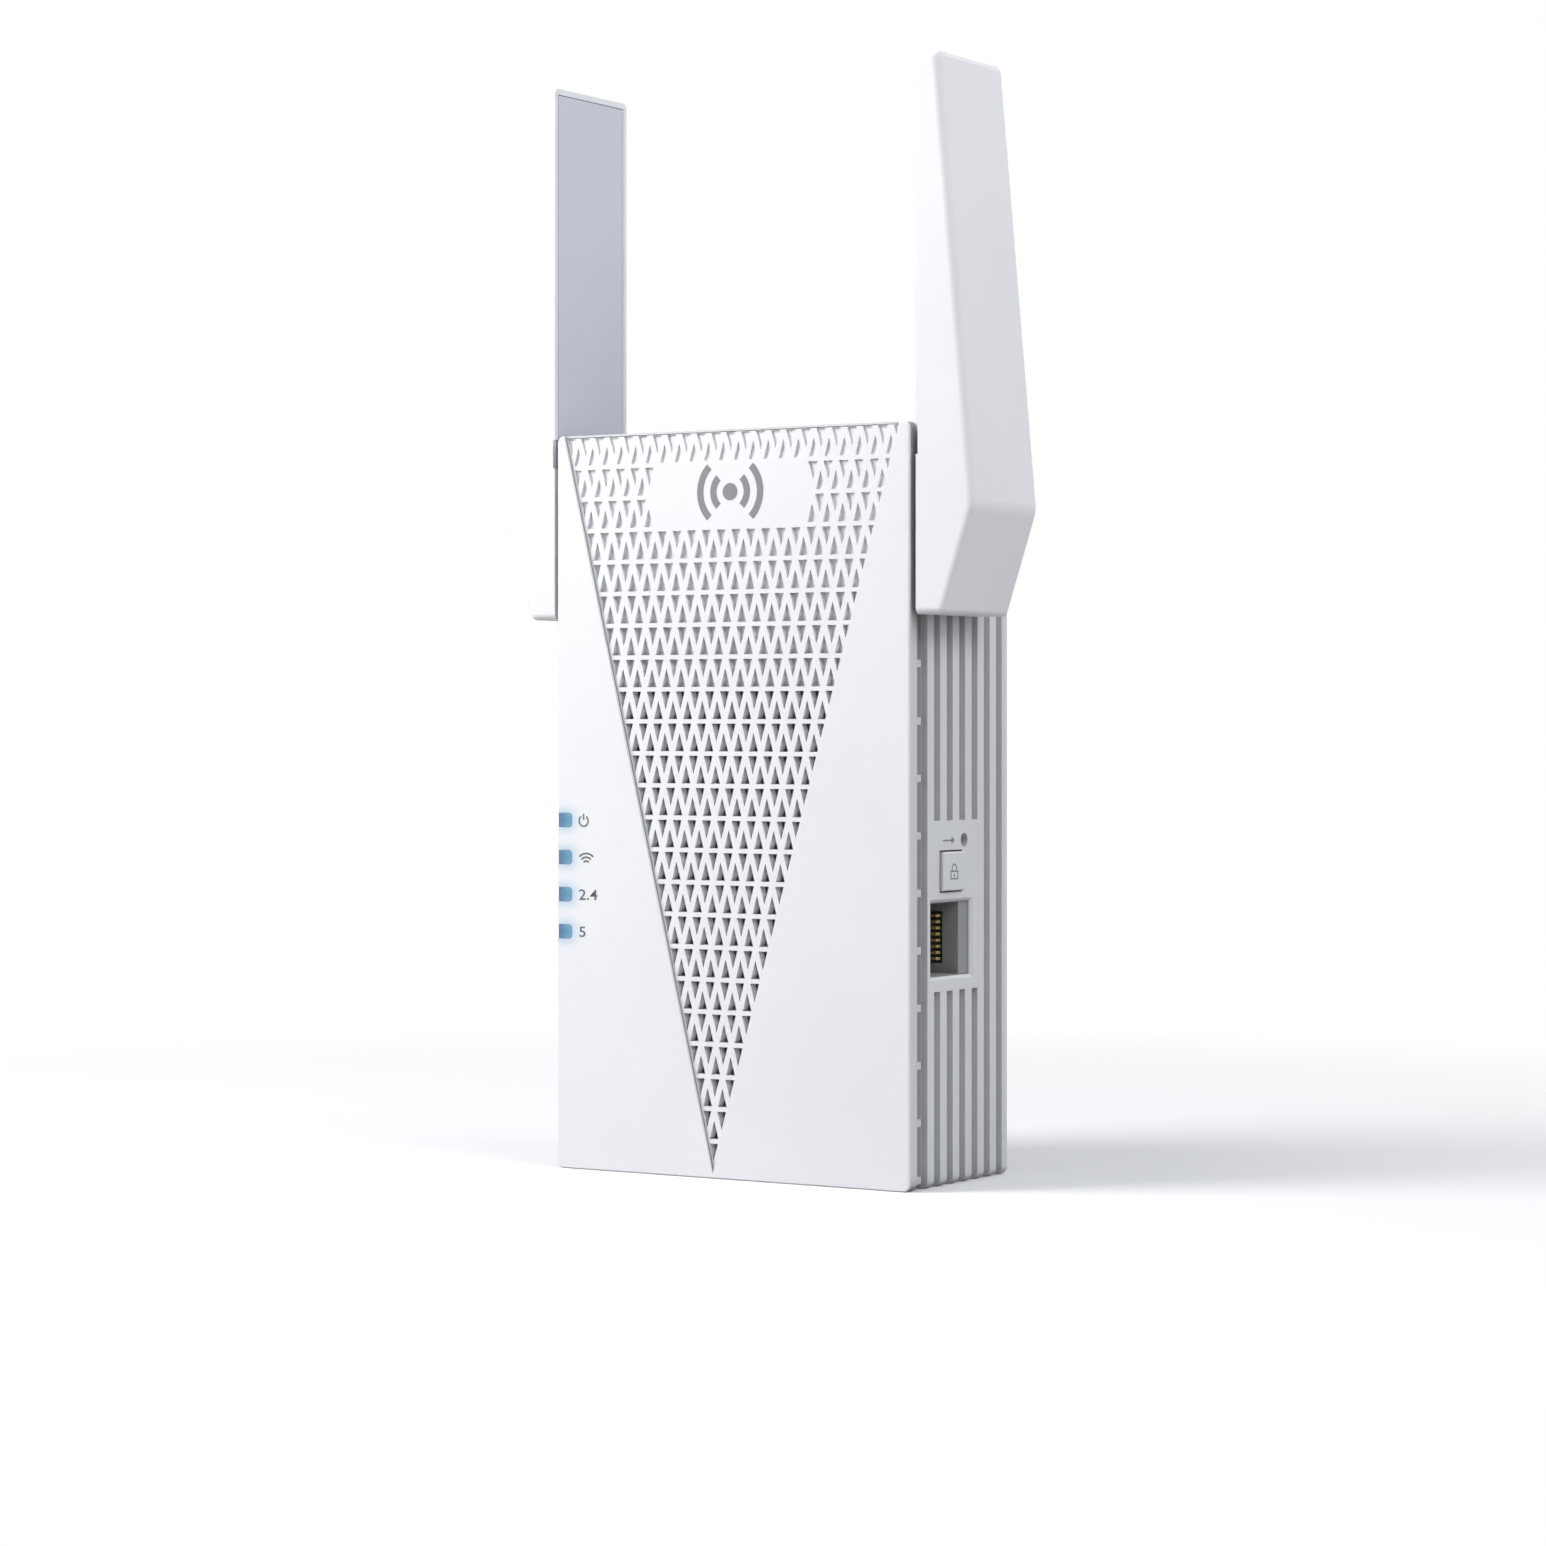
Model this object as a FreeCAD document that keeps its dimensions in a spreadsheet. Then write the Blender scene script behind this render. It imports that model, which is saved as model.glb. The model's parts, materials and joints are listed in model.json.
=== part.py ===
import FreeCAD, Part
import math
import os
import Sketcher
from FreeCAD import Placement, Rotation, Vector

# A plug-in wifi range extender, upright on its wall socket.
# Frame: X across the front, +Y into the wall, +Z up. The origin is the centre of the plug's seating face.
# Most places are given as a depth behind the front face and a height above the bottom edge, and the
# functions deep() and high() turn those into Y and Z of the frame.

doc = FreeCAD.newDocument("RangeExtender")
sheet = doc.addObject("Spreadsheet::Sheet", "Sizes")
nodes = []


class Size:
    """A length that carries both its value and the spreadsheet formula that gives it."""

    def __init__(self, value, text):
        self.value = value
        self.text = text

    def __float__(self):
        return float(self.value)

    def __neg__(self):
        return Size(-self.value, f"-({self.text})")

    def __add__(self, other):
        other = as_size(other)
        return Size(self.value + other.value, f"({self.text} + {other.text})")

    def __radd__(self, other):
        return as_size(other) + self

    def __sub__(self, other):
        other = as_size(other)
        return Size(self.value - other.value, f"({self.text} - {other.text})")

    def __rsub__(self, other):
        return as_size(other) - self

    def __mul__(self, other):
        other = as_size(other)
        return Size(self.value * other.value, f"({self.text} * {other.text})")

    def __rmul__(self, other):
        return as_size(other) * self

    def __truediv__(self, other):
        other = as_size(other)
        return Size(self.value / other.value, f"({self.text} / {other.text})")


def as_size(number):
    if isinstance(number, Size):
        return number
    return Size(float(number), f"{float(number):.6f}")


rows = []


def cell(alias, value):
    """Puts one driving dimension in the spreadsheet and returns it as a Size."""
    row = len(rows) + 1
    rows.append(alias)
    sheet.set(f"A{row}", alias)
    sheet.set(f"B{row}", str(value))
    sheet.setAlias(f"B{row}", alias)
    return Size(float(value), f"Sizes.{alias}")


# ---- body ----
body_wide = cell("body_wide", 69.2)
body_high = cell("body_high", 124.8)
body_deep = cell("body_deep", 33.0)
seat_proud = cell("seat_proud", 0.6)
plug_rise = cell("plug_rise", 27.0)
corner_round = cell("corner_round", 1.2)
edge_round = cell("edge_round", 0.25)

# ---- front cover ----
cover_wall = cell("cover_wall", 1.4)
cover_skirt = cell("cover_skirt", 2.6)
skirt_wall = cell("skirt_wall", 1.3)
collar_inset = cell("collar_inset", 2.75)
collar_wall = cell("collar_wall", 1.2)
collar_back = cell("collar_back", 6.4)
gap_back = cell("gap_back", 4.0)
nub_high = cell("nub_high", 1.2)
nub_pitch = cell("nub_pitch", 9.33)
nub_first = cell("nub_first", 1.0)
nub_inset = cell("nub_inset", 0.12)

# ---- the V of the grille, measured from the cover's lower left corner ----
vee_left = cell("vee_left", 1.33)
vee_right = cell("vee_right", 67.3)
vee_top = cell("vee_top", 124.45)
vee_foot_across = cell("vee_foot_across", 31.4)
vee_foot_up = cell("vee_foot_up", 0.6)
grille_drop = cell("grille_drop", 0.65)
grille_thick = cell("grille_thick", 1.6)
grille_flange = cell("grille_flange", 1.5)
lattice_top = cell("lattice_top", 124.3)
lattice_pitch = cell("lattice_pitch", 2.93)
lattice_row = cell("lattice_row", 5.39)
triangle_wide = cell("triangle_wide", 1.75)
triangle_high = cell("triangle_high", 3.08)
lattice_open = cell("lattice_open", 4.63)
lattice_rim = cell("lattice_rim", 0.4)
badge_left = cell("badge_left", 18.4)
badge_right = cell("badge_right", 49.7)

# ---- indicator windows ----
window_wide = cell("window_wide", 3.0)
window_high = cell("window_high", 2.4)
window_round = cell("window_round", 0.7)
window_pitch = cell("window_pitch", 6.33)
window_first = cell("window_first", 40.35)

# ---- housing ----
shell_wall = cell("shell_wall", 2.6)
groove_wide = cell("groove_wide", 2.0)
groove_deep = cell("groove_deep", 1.2)
groove_pitch = cell("groove_pitch", 4.2)
port_low = cell("port_low", 31.9)
port_top = cell("port_top", 59.9)
port_front = cell("port_front", 6.0)
port_back = cell("port_back", 25.0)
hinge_seat = cell("hinge_seat", 9.5)

# ---- rear cover and plug ----
rear_thick = cell("rear_thick", 2.0)
rear_gap = cell("rear_gap", 0.15)
plug_block_wide = cell("plug_block_wide", 30.0)
plug_block_high = cell("plug_block_high", 22.0)
plug_block_thick = cell("plug_block_thick", 6.6)
blade_gap = cell("blade_gap", 12.7)
blade_wide = cell("blade_wide", 6.35)
blade_thick = cell("blade_thick", 1.5)
blade_reach = cell("blade_reach", 16.6)
blade_tail = cell("blade_tail", 8.0)
blade_slack = cell("blade_slack", 0.02)
blade_hole = cell("blade_hole", 1.55)
blade_hole_reach = cell("blade_hole_reach", 12.0)
pillar_radius = cell("pillar_radius", 2.5)
pillar_across = cell("pillar_across", 24.0)
pillar_low = cell("pillar_low", 12.0)
pillar_top = cell("pillar_top", 96.0)
screw_across = cell("screw_across", 28.3)
screw_low = cell("screw_low", 6.4)
screw_top = cell("screw_top", 118.4)
post_radius = cell("post_radius", 3.0)
post_front = cell("post_front", 20.0)
screw_head = cell("screw_head", 2.2)
screw_shank = cell("screw_shank", 1.1)
pilot_slack = cell("pilot_slack", 0.03)

# ---- ports on the right side ----
reset_deep = cell("reset_deep", 18.25)
reset_up = cell("reset_up", 56.6)
reset_hole = cell("reset_hole", 1.15)
pair_front = cell("pair_front", 10.0)
pair_wide = cell("pair_wide", 7.1)
pair_low = cell("pair_low", 48.1)
pair_high = cell("pair_high", 6.4)
pair_gap = cell("pair_gap", 0.25)
pair_proud = cell("pair_proud", 0.7)
jack_front = cell("jack_front", 7.4)
jack_back = cell("jack_back", 20.7)
jack_low = cell("jack_low", 34.3)
jack_top = cell("jack_top", 46.5)
jack_recess = cell("jack_recess", 0.75)
jack_long = cell("jack_long", 20.6)
contact_pitch = cell("contact_pitch", 1.02)

# ---- antennas ----
antenna_gap = cell("antenna_gap", 0.95)
antenna_front = cell("antenna_front", 0.5)
antenna_deep = cell("antenna_deep", 22.0)
antenna_foot = cell("antenna_foot", 93.5)
antenna_tip = cell("antenna_tip", 184.5)
element_thick = cell("element_thick", 0.8)
copper_thick = cell("copper_thick", 0.1)
knee_up = cell("knee_up", 110.8)
knee_thick = cell("knee_thick", 10.8)
tip_thick = cell("tip_thick", 4.1)
foot_thick = cell("foot_thick", 5.2)
antenna_wall = cell("antenna_wall", 1.5)
lid_thick = cell("lid_thick", 1.2)
lid_inset = cell("lid_inset", 1.0)
lid_gap = cell("lid_gap", 0.12)
hinge_up = cell("hinge_up", 109.5)
barrel_radius = cell("barrel_radius", 4.0)
barrel_bore = cell("barrel_bore", 2.2)
barrel_slack = cell("barrel_slack", 0.05)
flange_radius = cell("flange_radius", 6.0)
flange_thick = cell("flange_thick", 0.9)
clip_thick = cell("clip_thick", 0.6)
clip_reach = cell("clip_reach", 0.9)
stop_radius = cell("stop_radius", 7.6)
stop_pin = cell("stop_pin", 0.7)
lead_radius = cell("lead_radius", 0.6)
lead_bend = cell("lead_bend", 3.0)

# ---- boards ----
board_thick = cell("board_thick", 1.6)
main_front = cell("main_front", 5.2)
main_wide = cell("main_wide", 58.0)
main_low = cell("main_low", 7.5)
main_top = cell("main_top", 113.5)
power_front = cell("power_front", 24.0)
power_low = cell("power_low", 4.5)
power_top = cell("power_top", 66.0)
button_board_in = cell("button_board_in", 23.4)

doc.recompute()

# ---- working planes of the frame ----
half_wide = body_wide / 2
front_y = -(body_deep + seat_proud)
side_floor = half_wide - groove_deep
side_inner = half_wide - shell_wall


def deep(depth):
    """Y of a point this far behind the front face."""
    return depth + front_y


def high(height):
    """Z of a point this far above the bottom edge."""
    return height - plug_rise


def across(distance):
    """X of a point this far from the front's left edge."""
    return distance - half_wide


main_back = main_front + board_thick
power_back = power_front + board_thick
hinge_deep = antenna_front + antenna_deep / 2
lid_face = half_wide + antenna_gap
lid_inner = lid_face + lid_thick

AXES = {
    "X": Rotation(Vector(0, 1, 0), 90),
    "Y": Rotation(Vector(1, 0, 0), -90),
    "Z": Rotation(),
}


# ======================= general builders =======================

def bind(obj, **formulas):
    """Tie properties of an object to sizes: Length=..., x=..., y=..., z=..."""
    places = {"x": "Placement.Base.x", "y": "Placement.Base.y", "z": "Placement.Base.z"}
    for name, size in formulas.items():
        obj.setExpression(places.get(name, name), as_size(size).text)
    return obj


def block(x, y, z, dx, dy, dz, name="Block"):
    """A box from its low corner."""
    obj = doc.addObject("Part::Box", name)
    return bind(obj, Length=dx, Width=dy, Height=dz, x=x, y=y, z=z)


def rod(axis, x, y, z, radius, length, name="Rod"):
    """A cylinder that starts at a point and runs along +axis."""
    obj = doc.addObject("Part::Cylinder", name)
    obj.Placement = Placement(Vector(), AXES[axis])
    return bind(obj, Radius=radius, Height=length, x=x, y=y, z=z)


def cone(axis, x, y, z, radius, far_radius, length, name="Cone"):
    obj = doc.addObject("Part::Cone", name)
    obj.Placement = Placement(Vector(), AXES[axis])
    return bind(obj, Radius1=radius, Radius2=far_radius, Height=length, x=x, y=y, z=z)


def fuse(*shapes, name="Union"):
    obj = doc.addObject("Part::MultiFuse", name)
    obj.Shapes = list(shapes)
    return obj


def cut(base, *tools, name="Cut"):
    obj = doc.addObject("Part::Cut", name)
    obj.Base = base
    obj.Tool = tools[0] if len(tools) == 1 else fuse(*tools)
    return obj


def group(*shapes, name="Group"):
    """Several separate solids that belong to one sub-part."""
    obj = doc.addObject("Part::Compound", name)
    obj.Links = list(shapes)
    return obj


def rounded(base, radius, test, name="Rounded"):
    """Fillet the edges of base whose middle passes the test."""
    doc.recompute()
    obj = doc.addObject("Part::Fillet", name)
    obj.Base = base
    picked = [i + 1 for i, edge in enumerate(base.Shape.Edges) if test(edge)]
    obj.Edges = [(i, float(radius), float(radius)) for i in picked]
    return obj


def bevelled(base, size, test, name="Bevelled"):
    """Chamfer the edges of base that pass the test."""
    doc.recompute()
    obj = doc.addObject("Part::Chamfer", name)
    obj.Base = base
    picked = [i + 1 for i, edge in enumerate(base.Shape.Edges) if test(edge)]
    obj.Edges = [(i, float(size), float(size)) for i in picked]
    return obj


def shaped(label, shape):
    """A sub-part whose shape is worked out with Part's own functions."""
    obj = doc.addObject("Part::Feature", label)
    obj.Shape = shape
    obj.Placement = Placement()
    return publish(label, obj)


def publish(label, obj):
    """Name an object as one of the sub-parts that are written out."""
    obj.Label = label
    nodes.append(obj)
    return obj


def mirrored(label, source):
    """The left-hand copy of a right-hand sub-part."""
    obj = doc.addObject("Part::Mirroring", label)
    obj.Source = source
    obj.Normal = Vector(1, 0, 0)
    obj.Base = Vector(0, 0, 0)
    return publish(label, obj)


# ======================= PartDesign helpers =======================

def new_body(label):
    body = doc.addObject("PartDesign::Body", label)
    return publish(label, body)


def origin_feature(body, role):
    return next(item for item in body.Origin.OriginFeatures if item.Role == role)


def sketch_on(body, role, offset, name="Sketch"):
    """A sketch on one of the body's own origin planes, moved along that plane's normal."""
    sketch = body.newObject("Sketcher::SketchObject", name)
    sketch.AttachmentSupport = (origin_feature(body, role), [""])
    sketch.MapMode = "FlatFace"
    sketch.setExpression(".AttachmentOffset.Base.z", as_size(offset).text)
    return sketch


def front_sketch(body, depth, name="Sketch"):
    """A sketch parallel to the front face, at a depth behind it. Its axes are X and Z."""
    return sketch_on(body, "XZ_Plane", -deep(depth), name)


def side_sketch(body, x, name="Sketch"):
    """A sketch parallel to the side faces. Its axes are Y and Z."""
    return sketch_on(body, "YZ_Plane", x, name)


def polygon(sketch, points):
    """A closed outline through points whose coordinates are sizes, each one constrained."""
    first = sketch.GeometryCount
    count = len(points)
    corners = [Vector(float(u), float(v), 0) for u, v in points]
    for i in range(count):
        sketch.addGeometry(Part.LineSegment(corners[i], corners[(i + 1) % count]), False)
    for i in range(count):
        after = first + (i + 1) % count
        sketch.addConstraint(Sketcher.Constraint("Coincident", first + i, 2, after, 1))
    for i, (u, v) in enumerate(points):
        for kind, size in (("DistanceX", u), ("DistanceY", v)):
            number = sketch.addConstraint(
                Sketcher.Constraint(kind, -1, 1, first + i, 1, float(size))
            )
            sketch.setExpression(f"Constraints[{number}]", as_size(size).text)
    return sketch


def rectangle(sketch, u, v, du, dv):
    return polygon(sketch, [(u, v), (u + du, v), (u + du, v + dv), (u, v + dv)])


def circle(sketch, u, v, radius):
    number = sketch.addGeometry(Part.Circle(Vector(float(u), float(v), 0), Vector(0, 0, 1), float(radius)))
    for constraint, size in (
        (Sketcher.Constraint("DistanceX", -1, 1, number, 3, float(u)), u),
        (Sketcher.Constraint("DistanceY", -1, 1, number, 3, float(v)), v),
        (Sketcher.Constraint("Radius", number, float(radius)), radius),
    ):
        index = sketch.addConstraint(constraint)
        sketch.setExpression(f"Constraints[{index}]", as_size(size).text)
    return sketch


def pad(body, sketch, length, along_normal=True, name="Pad"):
    feature = body.newObject("PartDesign::Pad", name)
    feature.Profile = sketch
    feature.Reversed = not along_normal
    feature.setExpression("Length", as_size(length).text)
    return feature


def pocket(body, sketch, length, along_normal=False, name="Pocket"):
    feature = body.newObject("PartDesign::Pocket", name)
    feature.Profile = sketch
    feature.Reversed = along_normal
    feature.setExpression("Length", as_size(length).text)
    return feature


def pocket_through(body, sketch, name="Pocket"):
    feature = body.newObject("PartDesign::Pocket", name)
    feature.Profile = sketch
    feature.Type = "ThroughAll"
    feature.Midplane = True
    return feature


def row_of(body, feature, direction, pitch, count, reverse=False, name="Row"):
    """Repeat a feature in a straight row along one of the body's origin axes."""
    pattern = body.newObject("PartDesign::LinearPattern", name)
    pattern.Originals = [feature]
    pattern.Direction = (origin_feature(body, direction), [""])
    pattern.Reversed = reverse
    pattern.Occurrences = count
    pattern.setExpression("Length", as_size(pitch * (count - 1)).text)
    body.Tip = pattern
    return pattern


def dress(body, kind, size, test, name="Dress"):
    """A PartDesign fillet or chamfer on the tip's edges that pass the test."""
    doc.recompute()
    base = body.Tip
    picked = [f"Edge{i + 1}" for i, edge in enumerate(base.Shape.Edges) if test(edge)]
    feature = body.newObject(f"PartDesign::{kind}", name)
    feature.Base = (base, picked)
    prop = "Radius" if kind == "Fillet" else "Size"
    feature.setExpression(prop, as_size(size).text)
    body.Tip = feature
    return feature


def middle(edge):
    return edge.valueAt((edge.FirstParameter + edge.LastParameter) / 2)


def runs_along(edge, axis):
    if not isinstance(edge.Curve, Part.Line):
        return False
    direction = edge.Curve.Direction
    return abs(abs(getattr(direction, axis)) - 1) < 1e-6


def near(value, size, slack=0.01):
    return abs(value - float(size)) < slack


# ======================= front cover =======================

def vee_points(widen=0.0, top=vee_top):
    """The grille's V, as (X, Z) corners, its sloping edges moved sideways by widen and cut off at top."""
    left_slope = (vee_foot_across - vee_left) / (vee_top - vee_foot_up)
    right_slope = (vee_right - vee_foot_across) / (vee_top - vee_foot_up)
    spread = as_size(widen)
    rise = top - vee_foot_up
    foot_drop = spread / ((left_slope + right_slope) / 2)
    return [
        (across(vee_foot_across), high(vee_foot_up - foot_drop)),
        (across(vee_foot_across + right_slope * rise + spread), high(top)),
        (across(vee_foot_across - left_slope * rise - spread), high(top)),
    ]


def frame_sketch(body, depth, inset, wall, name="Frame"):
    """Two nested rectangles: the section of a wall that runs round the body."""
    sketch = front_sketch(body, depth, name)
    for step in (as_size(inset), inset + wall):
        rectangle(
            sketch,
            step - half_wide,
            high(step),
            body_wide - 2 * step,
            body_high - 2 * step,
        )
    return sketch


def build_front_cover():
    """A white tray with a V cut out of its face, a collar that plugs into the housing, and spacer nubs."""
    body = new_body("front_cover")
    face = front_sketch(body, 0)
    rectangle(face, -half_wide, high(0), body_wide, body_high)
    pad(body, face, cover_skirt, along_normal=False)
    dress(body, "Fillet", corner_round, lambda e: runs_along(e, "y"))
    dress(body, "Fillet", edge_round, lambda e: near(middle(e).y, front_y))
    hollow = front_sketch(body, cover_skirt)
    rectangle(
        hollow,
        skirt_wall - half_wide,
        high(skirt_wall),
        body_wide - 2 * skirt_wall,
        body_high - 2 * skirt_wall,
    )
    pocket(body, hollow, cover_skirt - cover_wall, along_normal=True)
    collar = frame_sketch(body, cover_wall, collar_inset, collar_wall)
    pad(body, collar, collar_back - cover_wall, along_normal=False)
    nub_front = 2.3
    sides = front_sketch(body, nub_front)
    nub_reach = collar_inset - nub_inset
    for left in (nub_inset - half_wide, half_wide - collar_inset):
        rectangle(sides, left, high(nub_first), nub_reach, nub_high)
    nubs = pad(body, sides, gap_back - nub_front, along_normal=False)
    row_of(body, nubs, "Z_Axis", nub_pitch, 14)
    ends = front_sketch(body, nub_front)
    for low in (high(nub_inset), high(body_high - collar_inset)):
        rectangle(ends, -3 * nub_pitch - nub_high / 2, low, nub_high, nub_reach)
    end_nubs = pad(body, ends, gap_back - nub_front, along_normal=False)
    row_of(body, end_nubs, "X_Axis", nub_pitch, 7)
    slot = side_sketch(body, 0)
    slot_front = cover_skirt + 0.3
    rectangle(
        slot,
        deep(slot_front),
        high(nub_first + nub_pitch + nub_high + 1.0),
        gap_back - slot_front,
        nub_pitch - nub_high - 2.0,
    )
    vents = pocket_through(body, slot)
    row_of(body, vents, "Z_Axis", nub_pitch, 11)
    brow = front_sketch(body, 0)
    polygon(brow, vee_points(top=body_high + 1.0))
    pocket(body, brow, grille_drop)
    vee = front_sketch(body, 0)
    polygon(vee, vee_points())
    pocket(body, vee, grille_drop + grille_thick + 0.05)
    relief = front_sketch(body, cover_wall)
    polygon(relief, vee_flange_points(0.15))
    pocket(body, relief, grille_drop + grille_thick + 0.05 - cover_wall)
    notch = front_sketch(body, 0)
    notch_low = high(window_first - window_high / 2 - 0.05)
    notch_left = -half_wide - 0.5
    polygon(notch, rounded_end(notch_left, notch_low, window_wide + 0.55, window_high + 0.1, window_round))
    windows = pocket(body, notch, cover_wall + 0.6)
    row_of(body, windows, "Z_Axis", window_pitch, 4)
    channel = front_sketch(body, cover_wall)
    rectangle(
        channel,
        across(collar_inset) - 0.2,
        high(window_first - window_high / 2 - 0.1),
        collar_wall + 0.4,
        window_high + 0.2,
    )
    channels = pocket(body, channel, 1.6)
    row_of(body, channels, "Z_Axis", window_pitch, 4)
    return body


def rounded_end(left, low, wide, tall, radius):
    """The corners of a rectangle whose two right-hand ones are rounded, in four short chords each."""
    points = [(left, low)]
    for start, rise in ((-90, radius), (0, tall - radius)):
        for step in range(5):
            angle = math.radians(start + 22.5 * step)
            along = radius * round(math.cos(angle), 4)
            up = radius * round(math.sin(angle), 4)
            points.append((left + wide - radius + along, low + rise + up))
    points.append((left, low + tall))
    return points


def vee_flange_points(extra=0.0):
    """The grille's flange behind the panels: the V moved outward, cut off inside the skirt."""
    reach = grille_flange + extra
    left_slope = (vee_foot_across - vee_left) / (vee_top - vee_foot_up)
    right_slope = (vee_right - vee_foot_across) / (vee_top - vee_foot_up)
    edge = skirt_wall + 0.25 - extra
    low = skirt_wall + 0.35 - extra
    foot_left = vee_foot_across - reach - left_slope * (low - vee_foot_up)
    foot_right = vee_foot_across + reach + right_slope * (low - vee_foot_up)
    corner_left = vee_foot_up + (vee_foot_across - reach - edge) / left_slope
    corner_right = vee_foot_up + (body_wide - edge - reach - vee_foot_across) / right_slope
    top = body_high - edge
    return [
        (across(foot_left), high(low)),
        (across(foot_right), high(low)),
        (across(body_wide - edge), high(corner_right)),
        (across(body_wide - edge), high(top)),
        (across(edge), high(top)),
        (across(edge), high(corner_left)),
    ]


def clipped(corners, line):
    """The part of a convex outline to the left of a directed line (Sutherland and Hodgman)."""
    (ax, az), (bx, bz) = line
    side = [(bx - ax) * (z - az) - (bz - az) * (x - ax) for x, z in corners]
    kept = []
    for i, (x, z) in enumerate(corners):
        j = (i + 1) % len(corners)
        if side[i] >= 0:
            kept.append((x, z))
        if side[i] * side[j] < 0:
            part = side[i] / (side[i] - side[j])
            kept.append((x + part * (corners[j][0] - x), z + part * (corners[j][1] - z)))
    return kept


def area_of(corners):
    total = 0.0
    for i, (x, z) in enumerate(corners):
        nx, nz = corners[(i + 1) % len(corners)]
        total += x * nz - nx * z
    return total / 2


def flat_face(corners, y):
    wire = Part.makePolygon([Vector(x, y, z) for x, z in corners + corners[:1]])
    return Part.Face(wire)


def lattice_cells():
    """The lattice's triangles as (row, corners): one hanging and one standing for each pitch."""
    border = [(float(x), float(z)) for x, z in vee_points(-lattice_rim, vee_top - 0.15)]
    foot = border[0]
    lines = [(border[i], border[(i + 1) % 3]) for i in range(3)]
    half = float(triangle_wide) / 2
    pitch = float(lattice_pitch)
    slope = float(vee_foot_across - vee_left) / float(vee_top - vee_foot_up)
    badge = (float(across(badge_left)), float(across(badge_right)))
    row = 0
    while True:
        top = float(high(lattice_top)) - row * float(lattice_row)
        if top < foot[1]:
            break
        start = float(across(vee_left)) + 0.2 + row * float(lattice_row) * slope + half
        for k in range(-1, 24):
            x = start + k * pitch
            low = top - float(lattice_open)
            hanging = [(x - half, top), (x, top - float(triangle_high)), (x + half, top)]
            x += pitch / 2
            standing = [(x - half, low), (x + half, low), (x, low + float(triangle_high))]
            for corners in (hanging, standing):
                centre = sum(point[0] for point in corners) / 3
                if row in (1, 2) and badge[0] < centre < badge[1]:
                    continue
                for line in lines:
                    corners = clipped(corners, line)
                    if len(corners) < 3:
                        break
                if len(corners) > 2 and area_of(corners) > 0.35:
                    yield row, corners
        row += 1


def build_grille():
    """The V-shaped lattice panel. Its upper rows are blind dimples that deepen row by row."""
    face_y = float(deep(grille_drop))
    thick = float(grille_thick)
    back_y = face_y + thick
    fit = 0.05
    outline = [(float(x), float(z)) for x, z in vee_points(-fit, vee_top - 2 * fit)]
    plate = flat_face(outline, face_y).extrude(Vector(0, thick, 0))
    flange_y = float(deep(cover_wall))
    ring = [(float(x), float(z)) for x, z in vee_flange_points()]
    flange = flat_face(ring, flange_y).extrude(Vector(0, back_y - flange_y, 0))
    panel = plate.fuse(flange).removeSplitter()
    blind_rows = 8
    shallow = 0.35
    step = 0.13
    tools = []
    for row, corners in lattice_cells():
        depth = shallow + step * row if row < blind_rows else thick + 1.0
        tools.append(flat_face(corners, face_y - 1.0).extrude(Vector(0, depth + 1.0, 0)))
    shaped("grille_insert", panel.cut(Part.makeCompound(tools)))


def build_light_guide():
    """Four window lenses on one clear bar that leads the light over from the board's edge."""
    spine_left = across(5.2)
    spine_wide = 2.0
    back = cover_wall + 1.6
    pieces = []
    for k in range(4):
        low = high(window_first - window_high / 2 + k * window_pitch)
        head = block(-half_wide + 0.05, deep(0.05), low, window_wide - 0.05, cover_wall + 0.45, window_high)
        arm = block(across(skirt_wall + 0.2), deep(cover_wall), low, 6.4, 0.85, window_high)
        pieces += [head, arm]
    low = high(window_first - window_high / 2)
    tall = 3 * window_pitch + window_high
    pieces.append(block(spine_left, deep(cover_wall), low, spine_wide, back - cover_wall - 0.2, tall))
    face_back = float(deep(cover_wall))

    def at_window_end(edge):
        spot = middle(edge)
        return runs_along(edge, "y") and near(spot.x, window_wide - half_wide) and spot.y < face_back

    solid = rounded(fuse(*pieces), window_round, at_window_end, "Window_corners")
    corner = Vector(-half_wide + 0.05, deep(0.05), 0)
    soft = rounded(
        solid,
        0.35,
        lambda e: runs_along(e, "z") and near(middle(e).y, corner.y) and near(middle(e).x, corner.x),
    )
    publish("light_guide", soft)


# ======================= housing =======================

def build_housing():
    """The light grey shell behind the cover: a ribbed frame with the ports, hinge seats and screw posts."""
    body = new_body("mid_housing")
    cut_ribs(body)
    add_seats(body)
    add_posts(body)
    cut_side_openings(body)
    cut_end_vents(body)
    for side in (1, -1):
        arc_groove(body, side)
    return body


def cut_ribs(body):
    """The plain rectangular frame with eight square grooves around it."""
    ring = frame_sketch(body, gap_back, 0, shell_wall)
    pad(body, ring, body_deep - gap_back, along_normal=False)
    outer = lambda e: runs_along(e, "y") and near(abs(middle(e).x), half_wide)
    dress(body, "Fillet", corner_round, outer)
    groove = front_sketch(body, gap_back)
    for low_x, low_z, wide, tall in (
        (-half_wide - 1, high(-1.0), body_wide + 2, body_high + 2),
        (-side_floor, high(groove_deep), 2 * side_floor, body_high - 2 * groove_deep),
    ):
        rectangle(groove, low_x, low_z, wide, tall)
    first = pocket(body, groove, groove_wide)
    row_of(body, first, "Y_Axis", groove_pitch, 7)


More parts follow.
